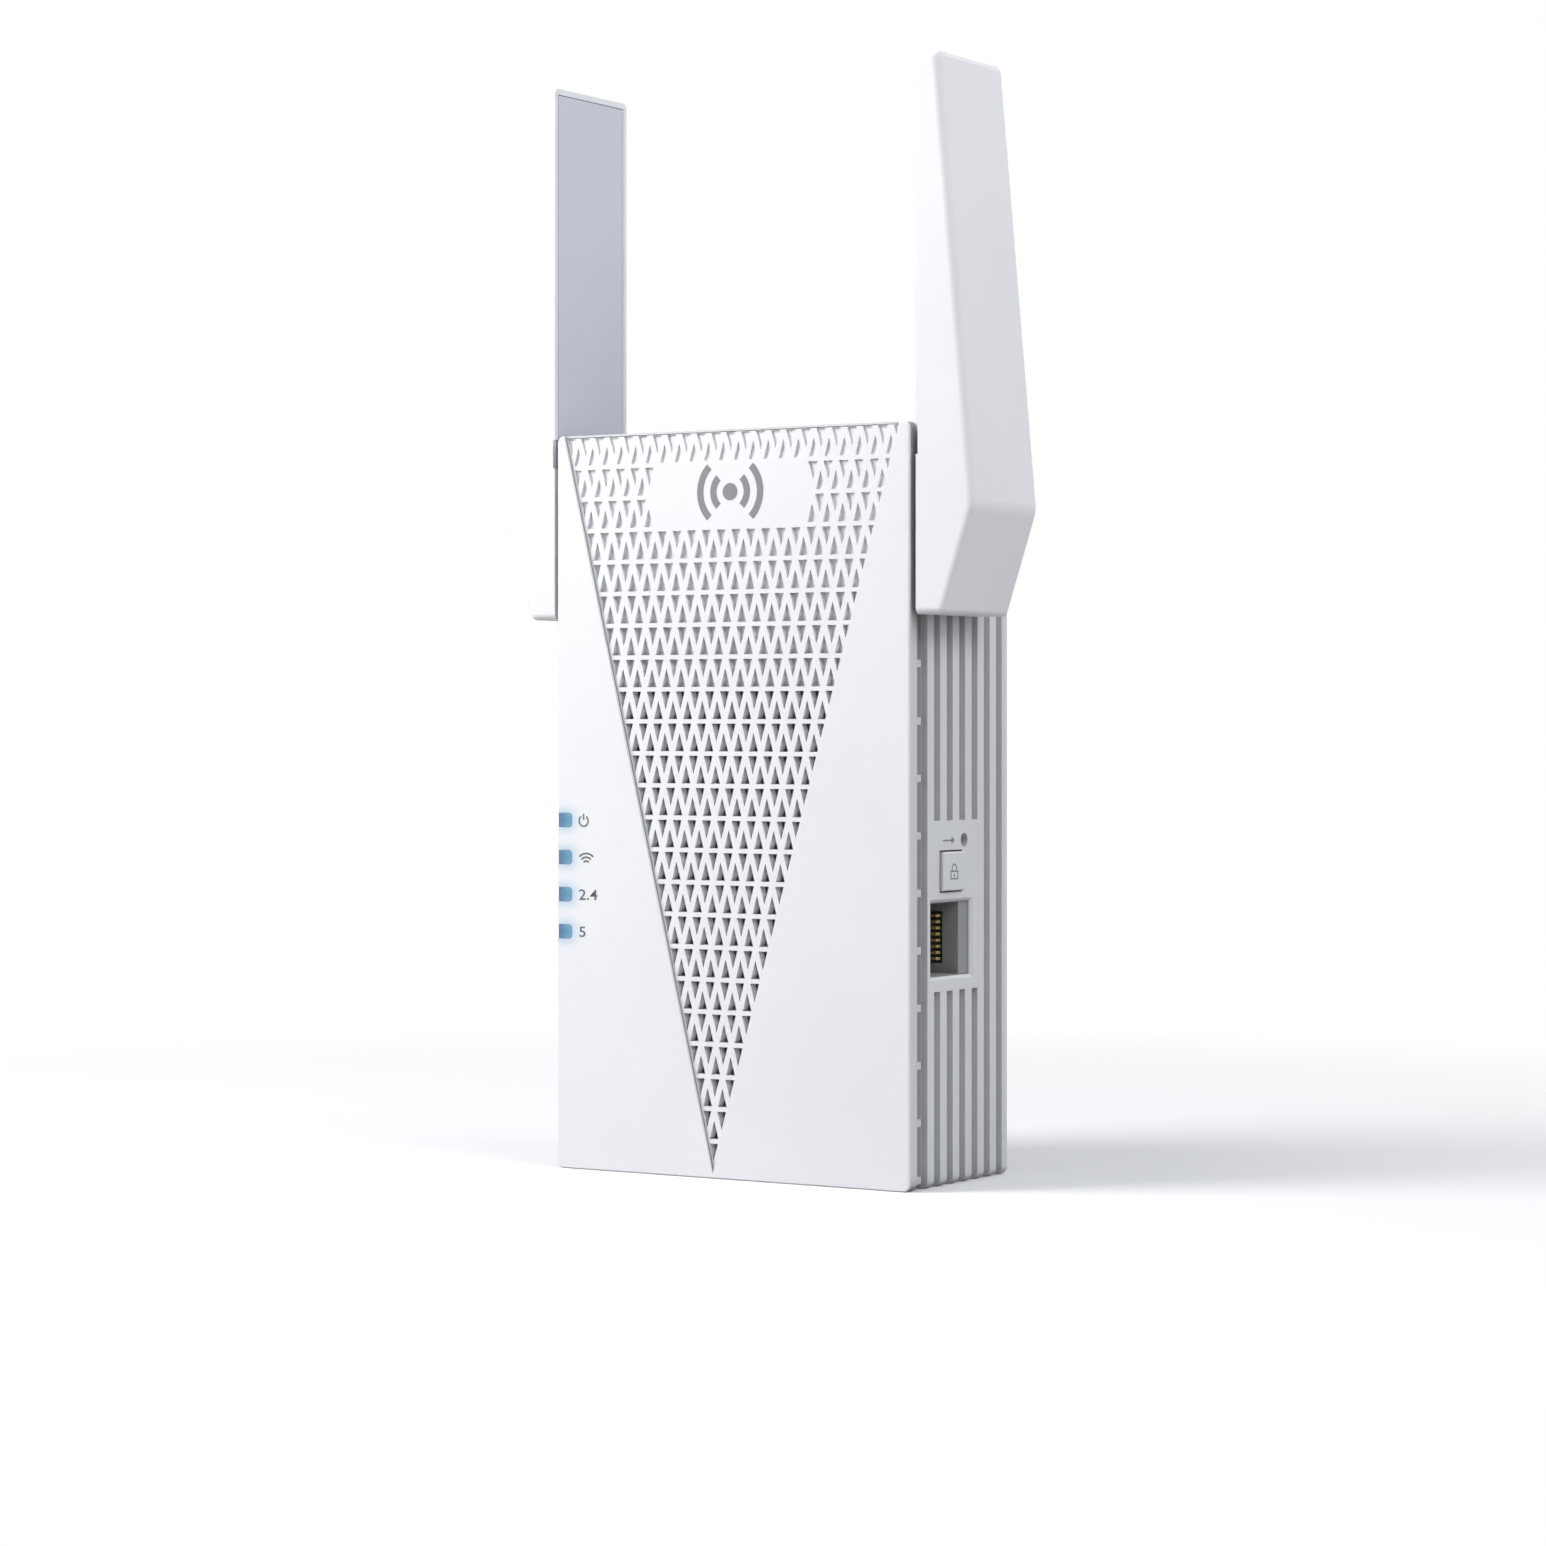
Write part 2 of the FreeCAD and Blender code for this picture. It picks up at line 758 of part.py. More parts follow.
def add_seats(body):
    """Flat areas filled in over the grooves, around the ports and behind each antenna hinge."""
    port = side_sketch(body, side_inner)
    rectangle(port, deep(port_front), high(port_low), port_back - port_front, port_top - port_low)
    pad(body, port, shell_wall)
    for x in (side_inner, -half_wide):
        seat = side_sketch(body, x)
        seat_wide = hinge_deep + hinge_seat - gap_back
        rectangle(seat, deep(gap_back), high(hinge_up - hinge_seat), seat_wide, 2 * hinge_seat)
        pad(body, seat, shell_wall)


def add_posts(body):
    """Four drilled posts that the rear screws grip, each tied to the side wall by a web."""
    post_long = body_deep - rear_thick - post_front - 0.05
    for x in (-screw_across, screw_across):
        for z in (screw_low, screw_top):
            post = front_sketch(body, post_front)
            circle(post, x, high(z), post_radius)
            pad(body, post, post_long, along_normal=False)
    webs = front_sketch(body, post_front)
    for side in (-1, 1):
        for z in (screw_low, screw_top):
            left = screw_across if side > 0 else -side_inner - 0.5
            rectangle(webs, left, high(z) - 1.0, side_inner + 0.5 - screw_across, 2.0)
    pad(body, webs, post_long, along_normal=False)
    pilots = front_sketch(body, body_deep)
    for x in (-screw_across, screw_across):
        for z in (screw_low, screw_top):
            circle(pilots, x, high(z), screw_shank + pilot_slack)
    pocket(body, pilots, rear_thick + 7.5, along_normal=True)


def cut_side_openings(body):
    """The hinge holes in both sides, and the reset hole, button opening and socket opening on the right."""
    hinge = side_sketch(body, 0)
    circle(hinge, deep(hinge_deep), high(hinge_up), barrel_radius + barrel_slack)
    pocket_through(body, hinge)
    cut_right(body, "circle", (deep(reset_deep), high(reset_up), reset_hole))
    cut_right(
        body,
        "rectangle",
        (deep(pair_front), high(pair_low), pair_wide + 2 * pair_gap, pair_high + 2 * pair_gap),
    )
    jack_size = (jack_back - jack_front, jack_top - jack_low)
    cut_right(body, "rectangle", (deep(jack_front), high(jack_low)) + jack_size)
    dress(body, "Chamfer", 0.5, is_socket_rim)


def is_socket_rim(edge):
    """The four outer edges of the socket opening."""
    spot = middle(edge)
    if not near(spot.x, half_wide):
        return False
    if runs_along(edge, "z"):
        level = near(spot.z, high((jack_low + jack_top) / 2))
        return level and (near(spot.y, deep(jack_front)) or near(spot.y, deep(jack_back)))
    if runs_along(edge, "y"):
        central = near(spot.y, deep((jack_front + jack_back) / 2))
        return central and (near(spot.z, high(jack_low)) or near(spot.z, high(jack_top)))
    return False


def cut_end_vents(body):
    """Four vent slots through the top wall and four through the bottom wall."""
    for depth in (8.2, 12.4, 16.6, 20.8):
        for end in (high(0.0), high(body_high - shell_wall)):
            slot = sketch_on(body, "XY_Plane", end)
            rectangle(slot, -9.0, deep(depth), 18.0, groove_wide)
            vents = pocket(body, slot, shell_wall, along_normal=True)
            assert_cut(body, vents)


def assert_cut(body, feature):
    """A pocket that points away from the solid cuts nothing, so stop if the volume hasn't dropped."""
    doc.recompute()
    before = feature.BaseFeature.Shape.Volume
    after = feature.Shape.Volume
    if after > before - 0.01:
        raise RuntimeError(f"{body.Label}: {feature.Name} cuts nothing")


def cut_right(body, shape, sizes):
    """An opening through the right-hand wall."""
    sketch = side_sketch(body, side_inner - 1.0)
    if shape == "circle":
        circle(sketch, *sizes)
    else:
        rectangle(sketch, *sizes)
    feature = pocket(body, sketch, shell_wall + 2.0, along_normal=True)
    assert_cut(body, feature)


def arc_groove(body, side):
    """The curved track in a hinge seat that the antenna's stop pin runs along, over half a turn."""
    x = half_wide - 0.9 if side > 0 else -half_wide
    sketch = side_sketch(body, x)
    slack = 0.15
    centre = Vector(float(deep(hinge_deep)), float(high(hinge_up)), 0)
    inner = float(stop_radius - stop_pin) - slack
    outer = float(stop_radius + stop_pin) + slack
    cap = (outer - inner) / 2
    up = Vector(0, 0, 1)
    reach = Vector(0, float(stop_radius), 0)
    quarter = math.pi / 2
    arcs = [
        Part.ArcOfCircle(Part.Circle(centre, up, outer), -quarter, quarter),
        Part.ArcOfCircle(Part.Circle(centre + reach, up, cap), quarter, 3 * quarter),
        Part.ArcOfCircle(Part.Circle(centre, up, inner), -quarter, quarter),
        Part.ArcOfCircle(Part.Circle(centre - reach, up, cap), quarter, 3 * quarter),
    ]
    for arc in arcs:
        sketch.addGeometry(arc, False)
    for a, b, c, d in ((0, 2, 1, 1), (1, 2, 2, 2), (2, 1, 3, 1), (3, 2, 0, 1)):
        sketch.addConstraint(Sketcher.Constraint("Coincident", a, b, c, d))
    for number in range(4):
        sketch.addConstraint(Sketcher.Constraint("Block", number))
    feature = pocket(body, sketch, 0.9, along_normal=True)
    assert_cut(body, feature)


# ======================= rear cover and plug =======================

def build_rear_cover():
    """The back plate, set inside the housing, with board pillars and a rim round the plug block."""
    body = new_body("rear_cover")
    inset = shell_wall + rear_gap
    plate = front_sketch(body, body_deep - rear_thick)
    rectangle(plate, inset - half_wide, high(inset), body_wide - 2 * inset, body_high - 2 * inset)
    pad(body, plate, rear_thick, along_normal=False)
    dress(body, "Fillet", 0.6, lambda e: runs_along(e, "y"))
    pillars = front_sketch(body, main_back)
    for x in (-pillar_across, pillar_across):
        for z in (pillar_low, pillar_top):
            circle(pillars, x, high(z), pillar_radius)
    pad(body, pillars, body_deep - rear_thick - main_back, along_normal=False)
    well = front_sketch(body, body_deep)
    rim = 1.6
    rectangle(
        well,
        -plug_block_wide / 2 - rim,
        -plug_block_high / 2 - rim,
        plug_block_wide + 2 * rim,
        plug_block_high + 2 * rim,
    )
    pad(body, well, seat_proud, along_normal=False)
    doc.recompute()
    dress(
        body,
        "Fillet",
        4.0,
        lambda e: runs_along(e, "y") and near(middle(e).y, -seat_proud / 2),
    )
    window = front_sketch(body, body_deep + seat_proud)
    rectangle(window, -plug_block_wide / 2, -plug_block_high / 2, plug_block_wide, plug_block_high)
    opening = pocket(body, window, rear_thick + seat_proud, along_normal=True)
    assert_cut(body, opening)
    pilots = front_sketch(body, main_back)
    for x in (-pillar_across, pillar_across):
        for z in (pillar_low, pillar_top):
            circle(pilots, x, high(z), 0.9 + pilot_slack)
    assert_cut(body, pocket(body, pilots, 8.0))
    holes = front_sketch(body, body_deep)
    heads = front_sketch(body, body_deep)
    for x in (-screw_across, screw_across):
        for z in (screw_low, screw_top):
            circle(holes, x, high(z), screw_shank + 0.2)
            circle(heads, x, high(z), screw_head + 0.25)
    assert_cut(body, pocket(body, holes, rear_thick, along_normal=True))
    assert_cut(body, pocket(body, heads, 1.2, along_normal=True))
    vent = front_sketch(body, body_deep)
    rectangle(vent, -14.0, high(66.0), 28.0, 1.6)
    vents = pocket(body, vent, rear_thick, along_normal=True)
    row_of(body, vents, "Z_Axis", as_size(4.2), 7)
    return body


def build_plug():
    """The plug block that fills the back plate's window, and its two flat blades."""
    body = new_body("plug_block")
    face = sketch_on(body, "XZ_Plane", 0)
    rectangle(face, -plug_block_wide / 2, -plug_block_high / 2, plug_block_wide, plug_block_high)
    pad(body, face, plug_block_thick)
    slots = sketch_on(body, "XZ_Plane", 0)
    for side in (-1, 1):
        rectangle(
            slots,
            side * blade_gap / 2 - blade_thick / 2 - blade_slack,
            -blade_wide / 2 - blade_slack,
            blade_thick + 2 * blade_slack,
            blade_wide + 2 * blade_slack,
        )
    assert_cut(body, pocket(body, slots, plug_block_thick, along_normal=True))
    shelf = sketch_on(body, "XZ_Plane", rear_thick + seat_proud)
    flange = 1.4
    for inset in (0.0, -flange):
        rectangle(
            shelf,
            -plug_block_wide / 2 + inset,
            -plug_block_high / 2 + inset,
            plug_block_wide - 2 * inset,
            plug_block_high - 2 * inset,
        )
    pad(body, shelf, 1.5)
    for side, label in ((-1, "plug_blade_left"), (1, "plug_blade_right")):
        build_blade(label, side * blade_gap / 2)


def build_blade(label, x):
    body = new_body(label)
    profile = side_sketch(body, x - blade_thick / 2)
    nose = 1.6
    shoulder = blade_wide / 2 - 1.2
    polygon(
        profile,
        [
            (-blade_tail, -blade_wide / 2),
            (blade_reach - nose, -blade_wide / 2),
            (blade_reach, -shoulder),
            (blade_reach, shoulder),
            (blade_reach - nose, blade_wide / 2),
            (-blade_tail, blade_wide / 2),
        ],
    )
    pad(body, profile, blade_thick)
    hole = side_sketch(body, x - blade_thick / 2)
    circle(hole, blade_hole_reach, 0.0, blade_hole)
    assert_cut(body, pocket(body, hole, blade_thick, along_normal=True))
    dress(
        body,
        "Chamfer",
        0.35,
        lambda e: runs_along(e, "z") and near(middle(e).y, blade_reach),
    )


def screw(x, z, head_front, reach, head, shank, along):
    """A pan-head screw along Y, its head at head_front and its shank running to +Y or -Y."""
    head_high = 1.1
    if along > 0:
        top = rod("Y", x, head_front, z, head, head_high)
        body = rod("Y", x, head_front + head_high, z, shank, reach)
        slot = block(x - head, head_front, z - 0.25, 2 * head, 0.5, 0.5)
        slot_cross = block(x - 0.25, head_front, z - head, 0.5, 0.5, 2 * head)
    else:
        top = rod("Y", x, head_front - head_high, z, head, head_high)
        body = rod("Y", x, head_front - head_high - reach, z, shank, reach)
        slot = block(x - 1.3, head_front - 0.5, z - 0.25, 2.6, 0.5, 0.5)
        slot_cross = block(x - 0.25, head_front - 0.5, z - 1.3, 0.5, 0.5, 2.6)
    return cut(fuse(top, body), slot, slot_cross)


def build_screws():
    rear = [
        screw(x, high(z), deep(body_deep) - 0.1, 6.5, screw_head, screw_shank, -1)
        for x in (-screw_across, screw_across)
        for z in (screw_low, screw_top)
    ]
    publish("rear_screws", group(*rear))
    board = [
        screw(x, high(z), deep(main_front) - 1.1, 6.0, as_size(2.0), as_size(0.9), 1)
        for x in (-pillar_across, pillar_across)
        for z in (pillar_low, pillar_top)
    ]
    publish("board_screws", group(*board))


# ======================= ports and buttons =======================

def build_pairing_button():
    """The square button on the right side: cap, retaining flange and the stem on the switch."""
    body = new_body("pairing_button")
    cap = side_sketch(body, half_wide + pair_proud)
    rectangle(cap, deep(pair_front + pair_gap), high(pair_low + pair_gap), pair_wide, pair_high)
    pad(body, cap, shell_wall + pair_proud, along_normal=False)
    dress(body, "Fillet", 0.3, lambda e: near(middle(e).x, half_wide + pair_proud))
    flange = side_sketch(body, side_inner)
    lip = 0.7
    step = 0.3
    rectangle(
        flange,
        deep(pair_front + pair_gap - lip),
        high(pair_low + pair_gap + step),
        pair_wide + 2 * lip,
        pair_high + lip - step,
    )
    pad(body, flange, 0.9, along_normal=False)
    stem = side_sketch(body, side_inner - 0.9)
    circle(stem, pair_centre_y, pair_centre_z, 1.5)
    pad(body, stem, 1.6, along_normal=False)


pair_centre_y = deep(pair_front + pair_gap + pair_wide / 2)
pair_centre_z = high(pair_low + pair_gap + pair_high / 2)
switch_face = side_inner - 3.5
switch_deep = 2.9


def build_switches():
    """The small board behind the buttons with its two push switches."""
    board = block(
        button_board_in,
        deep(main_back),
        high(49.2),
        board_thick,
        14.6,
        12.2,
    )
    publish("button_board", board)
    switch_in = button_board_in + board_thick
    case_long = switch_face - switch_in
    case = block(switch_in, pair_centre_y - 2.2, pair_centre_z - 2.0, case_long, 4.4, 4.4)
    well = rod("X", switch_face - 1.6, pair_centre_y, pair_centre_z, 1.1, 1.7)
    publish("pairing_switch", cut(case, well))
    plunger_in = switch_face - 0.9
    plunger_long = side_inner - 2.5 - plunger_in
    publish("pairing_plunger", rod("X", plunger_in, pair_centre_y, pair_centre_z, 1.0, plunger_long))
    y = deep(reset_deep)
    z = high(reset_up)
    reset_case = block(switch_in, y - 2.0, z - 1.9, case_long, 4.0, 3.8)
    reset_well = rod("X", switch_face - 1.6, y, z, 0.8, 1.7)
    publish("reset_switch", cut(reset_case, reset_well))
    publish("reset_plunger", rod("X", switch_face - 0.9, y, z, 0.7, 2.4))


def build_ethernet_jack():
    """The network socket: plastic body with its T-shaped cavity, metal shield and eight spring contacts."""
    mouth = half_wide - jack_recess
    back = mouth - jack_long
    centre_z = high((jack_low + jack_top) / 2)
    front = main_back
    key_front = as_size(7.7)
    latch_front = as_size(8.9)
    cavity_front = as_size(10.4)
    cavity_back = as_size(17.5)
    case_back = as_size(20.6)
    case_high = 15.6
    plug_high = 11.84
    latch_high = 6.2
    key_high = 4.0
    latch_long = 11.0
    lead_in_long = 3.4
    lead_in_wall = 0.7
    shell_front = deep(front)
    case_deep = case_back - front

    def slot(long, near_depth, far_depth, tall):
        """A rectangular hollow from the mouth inward, between two depths and centred in height."""
        past_mouth = 0.5
        low = centre_z - tall / 2
        return block(mouth - long, deep(near_depth), low, long + past_mouth, far_depth - near_depth, tall)

    case = block(back, shell_front, centre_z - case_high / 2, jack_long, case_deep, case_high)
    hollows = [
        slot(14.5, cavity_front, cavity_back, plug_high),
        slot(latch_long, latch_front, cavity_front, latch_high),
        slot(latch_long, key_front, latch_front, key_high),
        slot(lead_in_long, front + lead_in_wall, cavity_front, plug_high),
        block(mouth - 13.5, deep(cavity_back), centre_z - 4.3, 10.5, 1.3, 8.6),
    ]
    nose_high = 12.1
    nose_set_back = 0.6
    shoulder = 3.0
    nose_long = 5.0
    trims = [block(side_inner, shell_front, centre_z - case_high / 2, nose_long, nose_set_back, case_high)]
    for low in (centre_z + nose_high / 2, centre_z - nose_high / 2 - shoulder):
        trims.append(block(side_inner, shell_front, low, nose_long, case_deep, shoulder))
    publish("ethernet_jack_body", cut(case, *hollows, *trims))
    sheet_thick = 0.25
    shield_set_back = 0.7
    inner_end = side_inner - shield_set_back
    outer = block(
        back - sheet_thick,
        shell_front,
        centre_z - case_high / 2 - sheet_thick,
        inner_end - back + sheet_thick,
        case_deep + sheet_thick,
        case_high + 2 * sheet_thick,
    )
    low = centre_z - case_high / 2
    hollow = block(back, shell_front - 1, low, inner_end - back + 1, case_deep + 1, case_high)
    publish("ethernet_jack_shield", cut(outer, hollow))
    build_contacts(mouth, centre_z, cavity_back)


def build_contacts(mouth, centre_z, cavity_back):
    """Eight sprung wires, each lying in the trough and folded back into the cavity."""
    thick = 0.3
    wide = 0.45
    solids = []
    top = float(deep(cavity_back))
    edge = float(mouth)
    spine = [
        Vector(edge - 13.4, top + 0.9, 0),
        Vector(edge - 4.4, top + 0.9, 0),
        Vector(edge - 3.5, top + 0.2, 0),
        Vector(edge - 3.9, top - 0.5, 0),
        Vector(edge - 11.0, top - 2.85, 0),
    ]
    path = [(p.x, p.y) for p in spine]
    outline = thickened(path, thick)
    for k in range(8):
        low = float(centre_z) + (k - 3.5) * float(contact_pitch) - wide / 2
        wire = Part.makePolygon([Vector(x, y, low) for x, y in outline + outline[:1]])
        solids.append(Part.Face(wire).extrude(Vector(0, 0, wide)))
    shaped("ethernet_contacts", Part.makeCompound(solids))


def thickened(path, thick):
    """The outline of a strip of even thickness laid along a bent path."""
    left = []
    right = []
    for i, (x, y) in enumerate(path):
        before = path[max(i - 1, 0)]
        after = path[min(i + 1, len(path) - 1)]
        ux, uy = unit(x - before[0], y - before[1]) if i else unit(after[0] - x, after[1] - y)
        vx, vy = unit(after[0] - x, after[1] - y) if i < len(path) - 1 else (ux, uy)
        nx, ny = unit(-(uy + vy), ux + vx)
        stretch = thick / 2 / max(0.35, nx * -uy + ny * ux)
        left.append((x + nx * stretch, y + ny * stretch))
        right.append((x - nx * stretch, y - ny * stretch))
    return left + right[::-1]


def unit(x, y):
    length = math.hypot(x, y)
    return x / length, y / length


# ======================= boards =======================

def board_blank(front, low, top, hole_radius, notch_radius=None):
    """A board across the body, drilled for the pillars or their screws and notched for the screw posts."""
    plate = block(-main_wide / 2, deep(front), high(low), main_wide, board_thick, top - low)
    holes = [
        rod("Y", x, deep(front) - 1, high(z), hole_radius, board_thick + 2)
        for x in (-pillar_across, pillar_across)
        for z in (pillar_low, pillar_top)
        if float(z) < float(top)
    ]
    if notch_radius is not None:
        for x in (-screw_across, screw_across):
            holes.append(rod("Y", x, deep(front) - 1, high(screw_low), notch_radius, board_thick + 2))
    return cut(plate, *holes)


def chip(label, left, up, wide, tall, thick):
    """A bevelled package on the rear face of the main board."""
    y = deep(main_back)
    case = block(left, y, high(up), wide, thick, tall)
    publish(label, bevelled(case, 0.25, lambda e: near(middle(e).y, y + thick)))


def shield_can(label, left, up, wide, tall, thick):
    """A pressed metal can over a radio section, open towards the board, with vent holes in its face."""
    skin = 0.3
    y = deep(main_back)
    outer = block(left, y, high(up), wide, thick, tall)
    inner = block(left + skin, y - 1, high(up) + skin, wide - 2 * skin, thick + 1 - skin, tall - 2 * skin)
    holes = [
        rod("Y", left + wide * (i + 1) / 5, y + thick - 1, high(up) + tall * (k + 1) / 5, 0.6, 2)
        for i in range(4)
        for k in range(4)
    ]
    return publish(label, cut(outer, inner, *holes))


def build_main_board():
    publish("main_board", board_blank(main_front, main_low, main_top, as_size(1.0)))
    chip("processor", as_size(-8.0), as_size(76.0), 13.0, 13.0, 1.0)
    memory = block(9.0, deep(main_back), high(77.0), 9.0, 1.0, 12.0)
    flash = block(12.0, deep(main_back), high(64.5), 5.0, 1.2, 6.0)
    publish("memory_chips", group(memory, flash))
    chip("ethernet_transformer", as_size(-4.5), as_size(35.0), 12.7, 10.0, 4.5)
    shield_can("radio_shield_low", as_size(-26.0), as_size(66.0), 16.0, 9.5, 2.4)
    shield_can("radio_shield_high", as_size(-18.0), as_size(99.0), 27.0, 11.0, 2.4)
    spreader = block(-10.0, deep(main_back) + 1.4, high(74.0), 17.0, 1.2, 17.0)
    fins = [
        block(-10.0 + k * 3.0, deep(main_back) + 2.6, high(74.0), 1.0, 7.0, 17.0)
        for k in range(6)
    ]
    publish("heat_sink", fuse(spreader, *fins))
    publish("thermal_pad", block(-8.0, deep(main_back) + 1.0, high(76.0), 13.0, 0.4, 13.0))
    lamps = [
        block(
            across(6.4),
            deep(main_front) - 0.8,
            high(window_first - 0.8 + k * window_pitch),
            1.2,
            0.8,
            1.6,
        )
        for k in range(4)
    ]
    publish("indicator_leds", group(*lamps))


def build_power_board():
    """The mains supply behind the main board, with its taller parts on the front face."""
    blank = board_blank(power_front, power_low, power_top, pillar_radius + 0.3, post_radius + 0.3)
    publish("power_board", blank)
    face = deep(power_front)
    core = [
        block(-24.0, face - 12.0, high(34.0), 17.0, 12.0, 4.5),
        block(-24.0, face - 12.0, high(47.5), 17.0, 12.0, 4.5),
        block(-24.0, face - 12.0, high(38.5), 2.6, 12.0, 9.0),
        block(-9.6, face - 12.0, high(38.5), 2.6, 12.0, 9.0),
    ]
    publish("transformer_core", fuse(*core))
    publish("transformer_winding", block(-20.9, face - 11.5, high(38.7), 10.8, 11.0, 8.6))
    inputs = [rod("Z", x, face - 4.6, high(18.0), 4.2, 13.0) for x in (-14.0, -4.5)]
    publish("input_capacitors", group(*inputs))
    outputs = [rod("Z", x, face - 4.2, high(53.8), 3.9, 10.5) for x in (-10.0, -1.0)]
    publish("output_capacitors", group(*outputs))
    publish("input_fuse", rod("Z", as_size(6.0), face - 2.3, high(18.5), 1.8, 9.0))
    rectifier = block(11.0, face - 2.6, high(18.0), 5.0, 2.6, 6.4)
    controller = block(3.0, face - 1.6, high(44.0), 5.0, 1.6, 6.0)
    publish("supply_chips", group(rectifier, controller))
    drum = rod("Y", as_size(4.5), face - 8.0, high(34.5), 4.5, 8.0)
    waist = cut(
        rod("Y", as_size(4.5), face - 6.6, high(34.5), 5.5, 5.0),
        rod("Y", as_size(4.5), face - 6.6, high(34.5), 3.0, 5.0),
    )
    publish("filter_inductor", cut(drum, waist))
    publish("safety_capacitor", rod("X", as_size(-3.0), face - 4.2, high(50.0), 3.6, 3.0))
    pins = [
        block(10.0 + k * 2.54, deep(main_back), high(60.0), 0.64, power_front - main_back, 0.64)
        for k in range(4)
    ]
    publish("board_link_pins", group(*pins))
    bar = block(9.0, deep(13.0), high(59.1), 9.6, 2.5, 2.44)
    slots = [
        block(10.0 + k * 2.54, deep(12.0), high(60.0), 0.64, 5.0, 0.64)
        for k in range(4)
    ]
    publish("board_link_spacer", cut(bar, *slots))


def build_insulator():
    """A thin sheet that keeps the mains parts away from the network board."""
    publish("insulating_sheet", block(-26.0, deep(11.4), high(16.0), 36.0, 0.3, 40.0))


# ======================= antennas =======================

def outer_profile(inset):
    """The right antenna's section seen from the front, its outer faces moved inward by inset."""
    inset = as_size(inset)
    rise = (antenna_tip - knee_up)
    lean = (knee_thick - tip_thick) / rise
    foot_lean = (knee_thick - foot_thick) / (knee_up - antenna_foot)
    tip = antenna_tip - inset
    foot = antenna_foot + inset
    return [
        (lid_face, high(foot)),
        (lid_face + foot_thick - inset + foot_lean * inset * 0.6, high(foot)),
        (lid_face + knee_thick - inset, high(knee_up)),
        (lid_face + tip_thick - inset + lean * inset, high(tip)),
        (lid_face, high(tip)),
    ]


def build_antenna_shell():
    """The right antenna's outer shell: thick at the knee, tapering to the tip, hollow behind its lid."""
    body = new_body("right_antenna_shell")
    section = front_sketch(body, antenna_front)
    polygon(section, outer_profile(0))
    pad(body, section, antenna_deep, along_normal=False)
    foot_z = float(high(antenna_foot))
    tip_z = float(high(antenna_tip))
    outward = lambda e: middle(e).x > float(lid_face) + 0.5
    long_edge = lambda e: not runs_along(e, "y") and foot_z + 1 < middle(e).z < tip_z - 0.5
    knee_z = high(knee_up)
    knee_round = 5.0
    side_round = 1.4
    end_round = 1.1
    at_knee = lambda e: outward(e) and runs_along(e, "y") and near(middle(e).z, knee_z)
    dress(body, "Fillet", knee_round, at_knee)
    doc.recompute()
    dress(body, "Fillet", side_round, lambda e: outward(e) and long_edge(e))
    doc.recompute()
    off_lid = float(lid_face) + 0.3
    dress(body, "Fillet", end_round, lambda e: near(middle(e).z, foot_z) and middle(e).x > off_lid)
    dress(body, "Fillet", end_round, lambda e: near(middle(e).z, tip_z) and middle(e).x > off_lid)
    seat = side_sketch(body, lid_face)
    rectangle(
        seat,
        deep(antenna_front + lid_inset),
        high(antenna_foot + lid_inset),
        antenna_deep - 2 * lid_inset,
        antenna_tip - antenna_foot - 2 * lid_inset,
    )
    assert_cut(body, pocket(body, seat, lid_thick, along_normal=True))
    cavity = front_sketch(body, antenna_front + antenna_wall + 0.4)
    polygon(cavity, cavity_profile())
    assert_cut(body, pocket(body, cavity, antenna_deep - 2 * antenna_wall - 0.8))
    relief = side_sketch(body, lid_face)
    rectangle(relief, deep(antenna_front) - 1, high(119.4), 1 + lid_inset, 4.9)
    assert_cut(body, pocket(body, relief, 0.35, along_normal=True))
    return body


def cavity_profile():
    """The hollow behind the lid, a wall's thickness inside the outer faces."""
    wall = antenna_wall
    lean = (knee_thick - tip_thick) / (antenna_tip - knee_up)
    tip = antenna_tip - wall - 1.0
    foot = antenna_foot + wall + 1.0
    start = lid_face + lid_thick - 0.1
    return [
        (start, high(foot)),
        (lid_face + foot_thick - wall + 0.4, high(foot)),
        (lid_face + knee_thick - wall, high(knee_up)),
        (lid_face + tip_thick - wall + lean * (wall + 1.0), high(tip)),
        (start, high(tip)),
    ]


def build_antenna_lid():
    """The flat lid on the antenna's inner face, with the hinge hole and the stop pin."""
    body = new_body("right_antenna_lid")
    gap = lid_gap
    face = side_sketch(body, lid_face)
    rectangle(
        face,
        deep(antenna_front + lid_inset + gap),
        high(antenna_foot + lid_inset + gap),
        antenna_deep - 2 * lid_inset - 2 * gap,
        antenna_tip - antenna_foot - 2 * lid_inset - 2 * gap,
    )
    pad(body, face, lid_thick)
    pin = side_sketch(body, lid_face)
    circle(pin, deep(hinge_deep), high(hinge_up - stop_radius), stop_pin)
    pad(body, pin, antenna_gap + 0.75, along_normal=False)
    hole = side_sketch(body, lid_face)
    circle(hole, deep(hinge_deep), high(hinge_up), barrel_radius)
    assert_cut(body, pocket(body, hole, lid_thick, along_normal=True))
    return body


